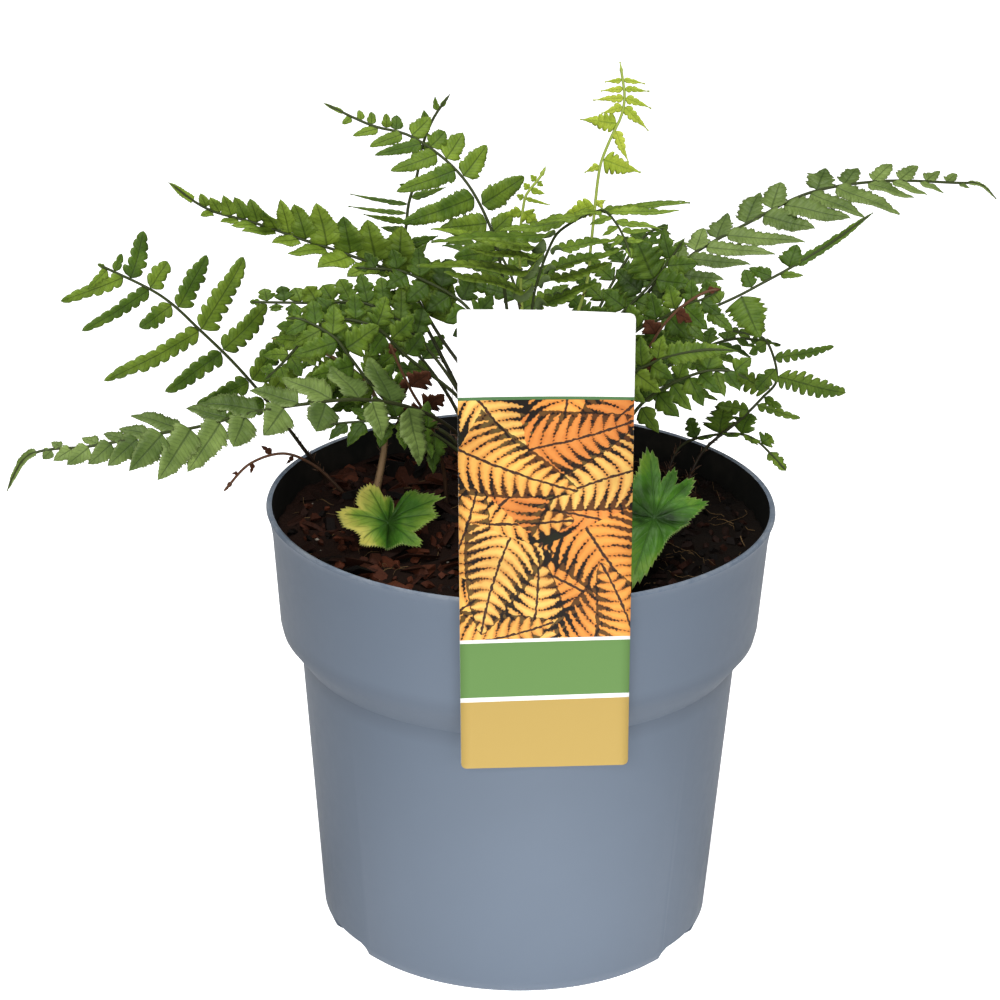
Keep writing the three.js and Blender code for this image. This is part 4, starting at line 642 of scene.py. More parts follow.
crown_rows = [
    (0, 0), (0.8, 0), (0.93, 0.2), (1, 0.5), (0.93, 0.7), (0.78, 0.85), (0.62, 0.94), (0.45, 1), (0.2, 1),
    (0, 0.97)]
crown_shape = turn(
    [(CROWN_RADIUS * wide, CROWN_FOOT + (CROWN_TOP - CROWN_FOOT) * high) for wide, high in crown_rows],
    CROWN_STEPS)
for vert in crown_shape.verts:
    azimuth = math.atan2(vert.co.y, vert.co.x)
    swell = 1 + CROWN_FLUTES * math.cos(azimuth * CROWN_FLUTE_COUNT)
    swell += 0.03 * noise.noise(vert.co * 400)
    vert.co = Vector((vert.co.x * swell, vert.co.y * swell, vert.co.z)) + CROWN_CENTRE
for azimuth in STUB_AZIMUTHS:
    stub = bmesh.ops.create_cone(
        crown_shape, cap_ends=True, segments=14, radius1=STUB_FOOT_RADIUS, radius2=STUB_TOP_RADIUS,
        depth=STUB_LENGTH)["verts"]
    bmesh.ops.rotate(crown_shape, verts=stub, cent=(0, 0, 0), matrix=Matrix.Rotation(STUB_LEAN, 3, "Y"))
    bmesh.ops.translate(
        crown_shape, verts=stub, vec=(CROWN_RADIUS * 0.72, 0, CROWN_TOP - STUB_LENGTH / 4))
    bmesh.ops.rotate(
        crown_shape, verts=stub, cent=(0, 0, 0), matrix=Matrix.Rotation(math.radians(azimuth), 3, "Z"))
    bmesh.ops.translate(crown_shape, verts=stub, vec=CROWN_CENTRE)


def grow_scale(shape, foot, way, out, length, width):
    """One papery scale: a narrow pointed strip that bows away from what it grows on."""
    aside = way.cross(out).normalized()

    def place(along, across):
        half = width / 2 * (1 - along) ** 0.7
        return foot + way * length * along + aside * half * across + out * length * 0.45 * along ** 2
    bend_strip(shape, place, 3, 1)


scale_draws = series(43)
scale_shape = bmesh.new()
for _ in range(CROWN_SCALES):
    azimuth = 2 * math.pi * next(scale_draws)
    outward = Vector((math.cos(azimuth), math.sin(azimuth), 0))
    share = next(scale_draws) ** 0.6
    scale_foot = CROWN_CENTRE + outward * CROWN_RADIUS * (1.0 - 0.55 * share ** 2)
    scale_foot += Vector((0, 0, CROWN_TOP - 9 * MM + 9 * MM * share))
    lean_out = Vector((next(scale_draws) - 0.5, next(scale_draws) - 0.5, 0)) * 0.9
    scale_way = (outward * 0.5 + Vector((0, 0, 1)) + lean_out).normalized()
    grow_scale(
        scale_shape, scale_foot, scale_way, outward, (3 + 4 * next(scale_draws)) * MM,
        (0.6 + 0.6 * next(scale_draws)) * MM)

RHIZOME_DARK = (0.008, 0.005, 0.003, 1)
RHIZOME_BROWN = (0.07, 0.035, 0.018, 1)
crown_material, crown_tree, crown_shader = new_material("rhizome_bark")
crown_grain = noise_on(crown_tree, object_place(crown_tree), 260.0, 8.0, Roughness=0.7)
crown_tree.links.new(
    mix_colours(crown_tree, crown_grain, RHIZOME_DARK, RHIZOME_BROWN), crown_shader.inputs["Base Color"])
crown_shader.inputs["Roughness"].default_value = 0.85
add_bump(crown_tree, crown_shader, crown_grain, 0.9, 0.8 * MM)
make_piece("rhizome", crown_shape, [crown_material], "crown", "crown")

SCALE_DARK = (0.012, 0.006, 0.004, 1)
SCALE_RUSTY = (0.16, 0.075, 0.032, 1)
scale_material, scale_tree, scale_shader = new_material("papery_scales")
scale_grain = noise_on(scale_tree, object_place(scale_tree), 500.0, 3.0)
scale_tree.links.new(
    mix_colours(scale_tree, scale_grain, SCALE_DARK, SCALE_RUSTY), scale_shader.inputs["Base Color"])
scale_shader.inputs["Roughness"].default_value = 0.6
crown_scales = make_piece("rhizome_scales", scale_shape, [scale_material], "crown")
thicken(crown_scales, 0.12 * MM)


# The fronds: each a wiry stipe that is brown at its foot and green higher up, with cut leaflets by turns
# on its two sides and a toothed tip. They repeat the routes and habits of the solids, drawn finer.
BLADE_THICKNESS = 0.62 * MM
LEAF_THICKNESS = 0.34 * MM
STIPE_SINK = 12 * MM


class Spine:
    """A smooth route through points, walked by its length."""

    STEPS = 200

    def __init__(self, points):
        self.points = [Vector(point) * MM for point in points]
        places = [self.at_time(step / self.STEPS) for step in range(self.STEPS + 1)]
        self.walked = [0.0]
        for before, after in zip(places, places[1:]):
            self.walked.append(self.walked[-1] + (after - before).length)
        self.length = self.walked[-1]

    def at_time(self, time):
        last = len(self.points) - 1
        spot = min(last * time, last - 1e-12)
        index = int(spot)
        share = spot - index
        one, two = self.points[index], self.points[index + 1]
        before = self.points[index - 1] if index > 0 else one * 2 - two
        after = self.points[index + 2] if index + 2 <= last else two * 2 - one
        lead, middle, trail = ((b - a).length ** 0.5 for a, b in ((before, one), (one, two), (two, after)))
        leave = ((one - before) / lead - (two - before) / (lead + middle) + (two - one) / middle) * middle
        arrive = ((two - one) / middle - (after - one) / (middle + trail) + (after - two) / trail) * middle
        return one + leave * share + ((two - one) * 3 - leave * 2 - arrive) * share ** 2 + (
            (one - two) * 2 + leave + arrive) * share ** 3

    def time_at(self, share):
        target = share * self.length
        index = min(bisect.bisect_right(self.walked, target) - 1, self.STEPS - 1)
        step = self.walked[index + 1] - self.walked[index]
        return (index + (target - self.walked[index]) / step) / self.STEPS

    def point_at(self, share):
        return self.at_time(self.time_at(share))

    def tangent_at(self, share):
        time = self.time_at(share)
        nudge = 1e-4
        return (self.at_time(min(1, time + nudge)) - self.at_time(max(0, time - nudge))).normalized()


# The usual habits. Of the whole frond: the way its upper side faces at foot and tip, the share of its length
# below the leaflets, half widths of the midrib at foot and tip, the toothed tip's length, a stipe's thickness
# against the usual, its kind and tint, and how the tint grows paler ahead (glow). Of its leaflets: how many,
# the longest's length (reach), width by length (slim), lean from the midrib (angle), rise on the left and
# right, droop (sag), bend ahead (curl), turn to the light, where they are longest (fullest) and their shares
# of that length at the foot and the tip. Of a leaflet's margin: the size of its lobes, the depth of the cuts
# at root and tip, its teeth, its width at the root, and how late and fast it narrows. A frond may set its
# leaflets one by one (own): share of the route, side, length, width and lean.
TRAITS = {
    "faces": ((0, -0.6, 0.8), (0, -0.6, 0.8)), "bare": 0.4, "leaflets": 18, "reach": 20, "slim": 0.42,
    "blunt": 1.9, "angle": 66, "lift": (0, 0), "sag": 0.12, "curl": 0.08, "light": (0, 0, 1), "turn": 0,
    "thick": 1.1, "thin": 0.42, "end": 12, "fullest": 0.3, "lowest": 0.75, "tip_reach": 0.16,
    "own": (), "kind": "leaf", "tint": 0.5, "glow": 0.1, "lobe": 3.7, "cuts": (0.6, 0.25),
    "teeth": 0.06, "taper": 0.9, "root": 0.42, "broad": 1.15, "stem": 1,
}
BENDS = [
    (scale, math.radians(pitch)) for scale in (1, 0.8, 0.62, 0.45) for pitch in (0, 12, -12, 24, -24, 38, -38)
]


class Frond:
    """One frond's route and habits."""

    def __init__(self, name, points, **traits):
        self.name = name
        self.spine = Spine(points)
        self.__dict__.update({**TRAITS, **traits})
        self.length = self.spine.length
        self.draws = series(len(name) * 977 + len(points))

    def half_at(self, share):
        return (self.thick + (self.thin - self.thick) * min(1, share * 1.1)) * MM

    def frame_at(self, share):
        """The midrib's centre, its way ahead, its upper side and its left side."""
        ahead = self.spine.tangent_at(share)
        hint = Vector(self.faces[0]).lerp(Vector(self.faces[1]), share)
        up = (hint - ahead * hint.dot(ahead)).normalized()
        return self.spine.point_at(share), ahead, up, up.cross(ahead)

    def reach_at(self, along):
        """How long the leaflets are along the leafy part, as a share of the longest."""
        if along < self.fullest:
            return self.lowest + (1 - self.lowest) * math.sin(along / self.fullest * math.pi / 2)
        past = (along - self.fullest) / (1 - self.fullest)
        return 1 - (1 - self.tip_reach) * past ** 1.15

    def leaflet_at(self, share, side, length, width, angle, lift, sag):
        """The size and set of one leaflet."""
        centre, ahead, up, left = self.frame_at(share)
        return {
            "centre": centre, "ahead": ahead, "up": up, "left": left, "sign": 1 if side == 0 else -1,
            "length": length * MM, "width": width * MM, "half": self.half_at(share), "sag": sag,
            "angle": math.radians(angle), "lift": math.radians(lift),
        }

    def drawn_leaflets(self):
        """Each leaflet and how far along it grows: set one by one, or drawn about the habits."""
        for share, side, *size in self.own:
            leaflet = self.leaflet_at(share, side, *size, self.lift[side], self.sag)
            leaflet["twist"] = math.radians(14 * (next(self.draws) - 0.5))
            yield share, leaflet
        if self.own:
            return
        leafy = 1 - self.bare - self.end * MM / self.length
        for index in range(self.leaflets):
            along = 1 - (1 - index / self.leaflets) ** 1.2
            room = leafy * (1 - (1 - (index + 1) / self.leaflets) ** 1.2 - along)
            root = room if room * self.length < 5 * MM else 3 * MM / self.length
            shape = self.reach_at(along)
            length = self.reach * shape * (0.92 + 0.16 * next(self.draws))
            width = min(length * self.slim * (0.7 + 0.3 / shape), 2 * room * self.length / MM * 0.86)
            angle = self.angle - 14 * along + 8 * (next(self.draws) - 0.5)
            lift = self.lift[index % 2] + 10 * (next(self.draws) - 0.5)
            twist = math.radians(14 * (next(self.draws) - 0.5))
            sag = self.sag * (0.7 + 0.6 * next(self.draws))
            leaflet = self.leaflet_at(
                self.bare + leafy * along + root / 2, index % 2, length, width, angle, lift, sag)
            leaflet["twist"] = twist
            yield along, leaflet

    def leaflet_line(self, leaflet, bend):
        """The bent leaflet's midline, as functions of its length's share, and its size."""
        scale, pitch = bend
        lift = leaflet["lift"] + pitch
        sideways = leaflet["left"] * leaflet["sign"]
        out = sideways * math.cos(lift) + leaflet["up"] * math.sin(lift)
        way = leaflet["ahead"] * math.cos(leaflet["angle"]) + out * math.sin(leaflet["angle"])
        up = leaflet["up"] * math.cos(lift) - sideways * math.sin(lift)
        light = Vector(self.light)
        lit = (light - way * light.dot(way)).normalized()
        root = leaflet["centre"] + leaflet["left"] * leaflet["sign"] * leaflet["half"]
        length = leaflet["length"] * scale

        def place_at(along):
            return root + way * length * along + leaflet["ahead"] * self.curl * length * along ** 2 - Vector(
                (0, 0, leaflet["sag"] * length * along ** 2))

        def up_at(along):
            turned = up.lerp(lit, self.turn * min(1, along * 6)).normalized()
            return Matrix.Rotation(leaflet["twist"] * along, 3, way) @ turned
        return place_at, up_at, way, length, leaflet["width"] * math.sqrt(scale)

    def grown_bend(self, leaflet, corners):
        """The bend that the solid's leaflet took, found by where its tip is; None if it has none."""
        for bend in BENDS:
            place_at, up_at, *_ = self.leaflet_line(leaflet, bend)
            tip = place_at(1) + up_at(1) * BLADE_THICKNESS / 2
            if corners.find(tip)[2] < 0.03 * MM:
                return bend
        return None


def node_corners(node):
    """The corners of a solid, to look up by place."""
    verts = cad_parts[node].data.vertices
    corners = KDTree(len(verts))
    for index, vert in enumerate(verts):
        corners.insert(vert.co, index)
    corners.balance()
    return corners


LOBE_ROWS = 6
LOBE_RANGE = (2, 9)
SUNK_SHARE = 0.06
STEM_COLUMNS = 64
STEM_ROWS = 6


def margin_widths(habit, lobes, rows, draws):
    """Half widths along one edge of a leaflet, as shares, with its root, cut lobes and teeth."""
    widths = []
    sizes = [0.86 + 0.22 * next(draws) for _ in range(lobes + 1)]
    for row in range(rows + 1):
        along = row / rows
        body = (1 - along ** habit.blunt) ** habit.taper * (habit.root + (1 - habit.root) * min(1, along * 9))
        part = row / LOBE_ROWS % 1
        rounded = (1 - (2 * part - 1) ** 2) ** 0.4
        cut = habit.cuts[0] + (habit.cuts[1] - habit.cuts[0]) * along
        tooth = habit.teeth if row % 2 else 0
        widths.append(body * (1 - cut * (1 - rounded)) * (1 - tooth) * sizes[row // LOBE_ROWS])
    return widths


def grow_leaflet(shape, layers, habit, line, draws, tint):
    """One leaflet as a lobed sheet: hollow along its midvein, each lobe a little crowned."""
    place_at, up_at, forward, length, width = line
    lobes = max(LOBE_RANGE[0], min(LOBE_RANGE[1], round(length / (habit.lobe * MM))))
    rows = LOBE_ROWS * lobes
    widths = {side: margin_widths(habit, lobes, rows, draws) for side in (-1, 1)}
    wave = 6.28 * next(draws)
    folded = 0.22 + 0.2 * next(draws)
    verts = bmesh.ops.create_grid(shape, x_segments=rows, y_segments=4, size=1)["verts"]
    for vert in verts:
        along, across = (vert.co.x + 1) / 2, vert.co.y
        row = round(along * rows)
        side = 1 if across > 0 else -1
        reach = habit.broad * width / 2 * widths[side][row] * across
        up = up_at(along)
        aside = up.cross(forward).normalized()
        part = row / LOBE_ROWS % 1
        crown = math.sin(math.pi * part) * math.sin(math.pi * min(1, abs(across) * 0.9))
        rise = abs(reach) * folded * (1 - 0.4 * abs(across)) - abs(across) ** 2 * width * 0.06
        rise += crown * 0.06 * width + 0.07 * width * math.sin(wave + 8 * along) * (0.3 + abs(across))
        slant = abs(reach) * 0.35 * (1 - along)
        vert.co = place_at(along) + aside * reach + up * rise + forward * slant
        vert[layers["across"]] = across
        vert[layers["lobe"]] = row / LOBE_ROWS
        vert[layers["tint"]] = tint


def grow_frond(frond):
    """The frond's midrib, its leaflets and its toothed tip, in one bmesh."""
    shape = bmesh.new()
    layers = {name: shape.verts.layers.float.new(name) for name in ("along", "across", "lobe", "tint")}
    corners = node_corners(frond.name)
    looks = series(len(frond.name) * 131 + 7)
    foot = frond.spine.point_at(0)

    def above_ground(along):
        return max(0, (along - SUNK_SHARE) / (1 - SUNK_SHARE))

    def centre_at(along):
        if along < SUNK_SHARE:
            return foot + Vector((0, 0, -STIPE_SINK * (1 - along / SUNK_SHARE)))
        return frond.spine.point_at(above_ground(along))

    def radius_at(along):
        slimmer = frond.stem * (0.62 - 0.22 * min(1, along / max(0.1, frond.bare)))
        return slimmer * frond.half_at(max(0, along - SUNK_SHARE)) * (1 if along < 0.99 else 0.5)
    stem = grow_stem(
        shape, centre_at, lambda along: frond.frame_at(above_ground(along))[3],
        lambda along: frond.frame_at(above_ground(along))[2], radius_at, STEM_COLUMNS, STEM_ROWS)
    stem_faces = set(shape.faces)
    for vert in stem:
        vert[layers["along"]] = max(0, (vert.co - foot).length / frond.length)
    for along, leaflet in frond.drawn_leaflets():
        bend = frond.grown_bend(leaflet, corners)
        if bend is None:
            continue
        tint = frond.tint + frond.glow * along + 0.3 * (next(looks) - 0.5)
        grow_leaflet(shape, layers, frond, frond.leaflet_line(leaflet, bend), looks, tint)
    end = 1 - frond.end * MM / frond.length
    tip_line = (
        lambda along: frond.spine.point_at(end + (1 - end) * along),
        lambda along: frond.frame_at(end + (1 - end) * along)[2], frond.frame_at(end)[1], frond.end * MM,
        2 * (frond.reach * 0.13 + 0.3) * MM)
    grow_leaflet(shape, layers, frond, tip_line, looks, frond.tint + frond.glow)
    for face in shape.faces:
        face.material_index = 2 if face in stem_faces else 0
    return shape


def leaf_pattern_group():
    """The veins, blotches and rim of a leaflet, from the places on it that its mesh carries."""
    group = bpy.data.node_groups.new("leaf_pattern", "ShaderNodeTree")
    for name in ("Vein", "Blotch", "Rim", "Height"):
        group.interface.new_socket(name, in_out="OUTPUT", socket_type="NodeSocketFloat")
    across = add_node(group, "ShaderNodeAttribute", attribute_name="across").outputs["Fac"]
    lobe = add_node(group, "ShaderNodeAttribute", attribute_name="lobe").outputs["Fac"]
    away = compute(group, "ABSOLUTE", across)
    midvein = remap(group, away, 0.11, 0.02, interpolation_type="SMOOTHSTEP")
    leaning = compute(group, "MULTIPLY_ADD", away, -0.55, lobe)
    part = compute(group, "FRACT", compute(group, "MULTIPLY", leaning, 2.0))
    off_vein = compute(group, "ABSOLUTE", compute(group, "SUBTRACT", part, 0.5))
    side_vein = remap(group, off_vein, 0.16, 0.03, 0.0, 0.4, interpolation_type="SMOOTHSTEP")
    vein = compute(group, "MAXIMUM", midvein, side_vein)
    place = object_place(group)
    height = compute(group, "MULTIPLY_ADD", vein, -1.0, noise_on(group, place, 900.0, 3.0))
    leave = group.nodes.new("NodeGroupOutput")
    for name, socket in (("Vein", vein), ("Blotch", noise_on(group, place, 95.0, 4.0)),
                         ("Rim", remap(group, away, 0.72, 1.0)), ("Height", height)):
        group.links.new(socket, leave.inputs[name])
    return group


leaf_pattern = leaf_pattern_group()


def add_ramp(tree, factor, stops):
    """A run of colours, given as {place: colour}."""
    ramp = add_node(tree, "ShaderNodeValToRGB", {"Fac": factor})
    elements = ramp.color_ramp.elements
    while len(elements) < len(stops):
        elements.new(0.5)
    for element, (place, colour) in zip(elements, sorted(stops.items())):
        element.position = place
        element.color = (*colour, 1)
    return ramp.outputs["Color"]


def leaf_material(name, stops, vein, rim, roughness, relief):
    """A leaf surface: coloured by each leaflet's tint and by blotches, with its veins and rim."""
    material, tree, shader = new_material(name)
    pattern = add_node(tree, "ShaderNodeGroup", node_tree=leaf_pattern)
    tint = add_node(tree, "ShaderNodeAttribute", attribute_name="tint").outputs["Fac"]
    blend = compute(tree, "MULTIPLY_ADD", pattern.outputs["Blotch"], 0.9, tint)
    colour = add_ramp(tree, compute(tree, "SUBTRACT", blend, 0.45, clamp=True), stops)
    veined = compute(tree, "MULTIPLY", pattern.outputs["Vein"], 0.6)
    colour = mix_colours(tree, veined, colour, (*vein, 1))
    rimmed = compute(tree, "MULTIPLY", pattern.outputs["Rim"], 0.4)
    colour = mix_colours(tree, rimmed, colour, (*rim, 1))
    tree.links.new(colour, shader.inputs["Base Color"])
    shader.inputs["Specular IOR Level"].default_value = 0.12
    add_sheen(tree, shader, 300, roughness, 0.25)
    add_bump(tree, shader, pattern.outputs["Height"], relief, 0.25 * MM)
    return material


def stipe_material(name, foot, tip):
    """A midrib: one colour at its foot, another at its tip, with fine lengthwise mottling."""
    material, tree, shader = new_material(name)
    along = add_node(tree, "ShaderNodeAttribute", attribute_name="along").outputs["Fac"]
    mottle = noise_on(tree, object_place(tree), 350.0, 4.0)
    share = remap(tree, compute(tree, "MULTIPLY_ADD", mottle, 0.35, along), 0.25, 0.65)
    tree.links.new(mix_colours(tree, share, (*foot, 1), (*tip, 1)), shader.inputs["Base Color"])
    shader.inputs["Roughness"].default_value = 0.5
    shader.inputs["Specular IOR Level"].default_value = 0.15
    add_bump(tree, shader, mottle, 0.4, 0.2 * MM)
    return material


# Each kind of frond: its slot, then the surfaces of its leaflets, their undersides and its stipe
LEAF_KINDS = {
    "leaf": (
        "leaf",
        leaf_material(
            "green_leaf", {0: (0.012, 0.026, 0.004), 0.5: (0.052, 0.1, 0.01), 1: (0.17, 0.25, 0.025)},
            (0.014, 0.026, 0.005), (0.17, 0.24, 0.04), 0.42, 0.5),
        leaf_material("green_leaf_underside", {0: (0.035, 0.06, 0.018), 1: (0.12, 0.17, 0.06)},
                      (0.14, 0.19, 0.07), (0.12, 0.17, 0.05), 0.6, 0.35),
        stipe_material("brown_to_green_stipe", (0.016, 0.009, 0.006), (0.034, 0.046, 0.013))),
    "young": (
        "young_leaf",
        leaf_material("young_leaf", {0: (0.12, 0.2, 0.012), 0.5: (0.27, 0.36, 0.03), 1: (0.45, 0.5, 0.06)},
                      (0.12, 0.19, 0.02), (0.45, 0.48, 0.08), 0.45, 0.4),
        leaf_material("young_leaf_underside", {0: (0.2, 0.28, 0.06), 1: (0.4, 0.46, 0.12)},
                      (0.2, 0.28, 0.07), (0.4, 0.44, 0.12), 0.6, 0.3),
        stipe_material("pale_stipe", (0.06, 0.055, 0.02), (0.3, 0.38, 0.07))),
    "dead": (
        "withered_leaf",
        leaf_material("withered_leaf", {0: (0.012, 0.005, 0.003), 1: (0.095, 0.03, 0.012)},
                      (0.03, 0.012, 0.007), (0.13, 0.06, 0.03), 0.8, 0.8),
        leaf_material("withered_leaf_underside", {0: (0.016, 0.008, 0.004), 1: (0.09, 0.04, 0.018)},
                      (0.05, 0.02, 0.01), (0.13, 0.06, 0.03), 0.8, 0.8),
        stipe_material("dry_stipe", (0.03, 0.016, 0.009), (0.1, 0.045, 0.022))),
}
# A paler, greyer copy of the green leaf: a painted grey sheen, for fronds whose leaflets catch one
LEAF_KINDS["painted_sheen"] = (
    "leaf",
    leaf_material("dull_leaf", {0: (0.011, 0.024, 0.005), 0.5: (0.062, 0.1, 0.022), 1: (0.18, 0.25, 0.065)},
                  (0.018, 0.032, 0.009), (0.22, 0.28, 0.1), 0.42, 0.5),
    *LEAF_KINDS["leaf"][2:])
LEAF_KINDS["tan"] = (
    *LEAF_KINDS["leaf"][:3], stipe_material("tan_stipe", (0.26, 0.165, 0.085), (0.2, 0.13, 0.06)))
FACING_FRONT = ((0, -0.9, 0.5), (0, -0.9, 0.4))
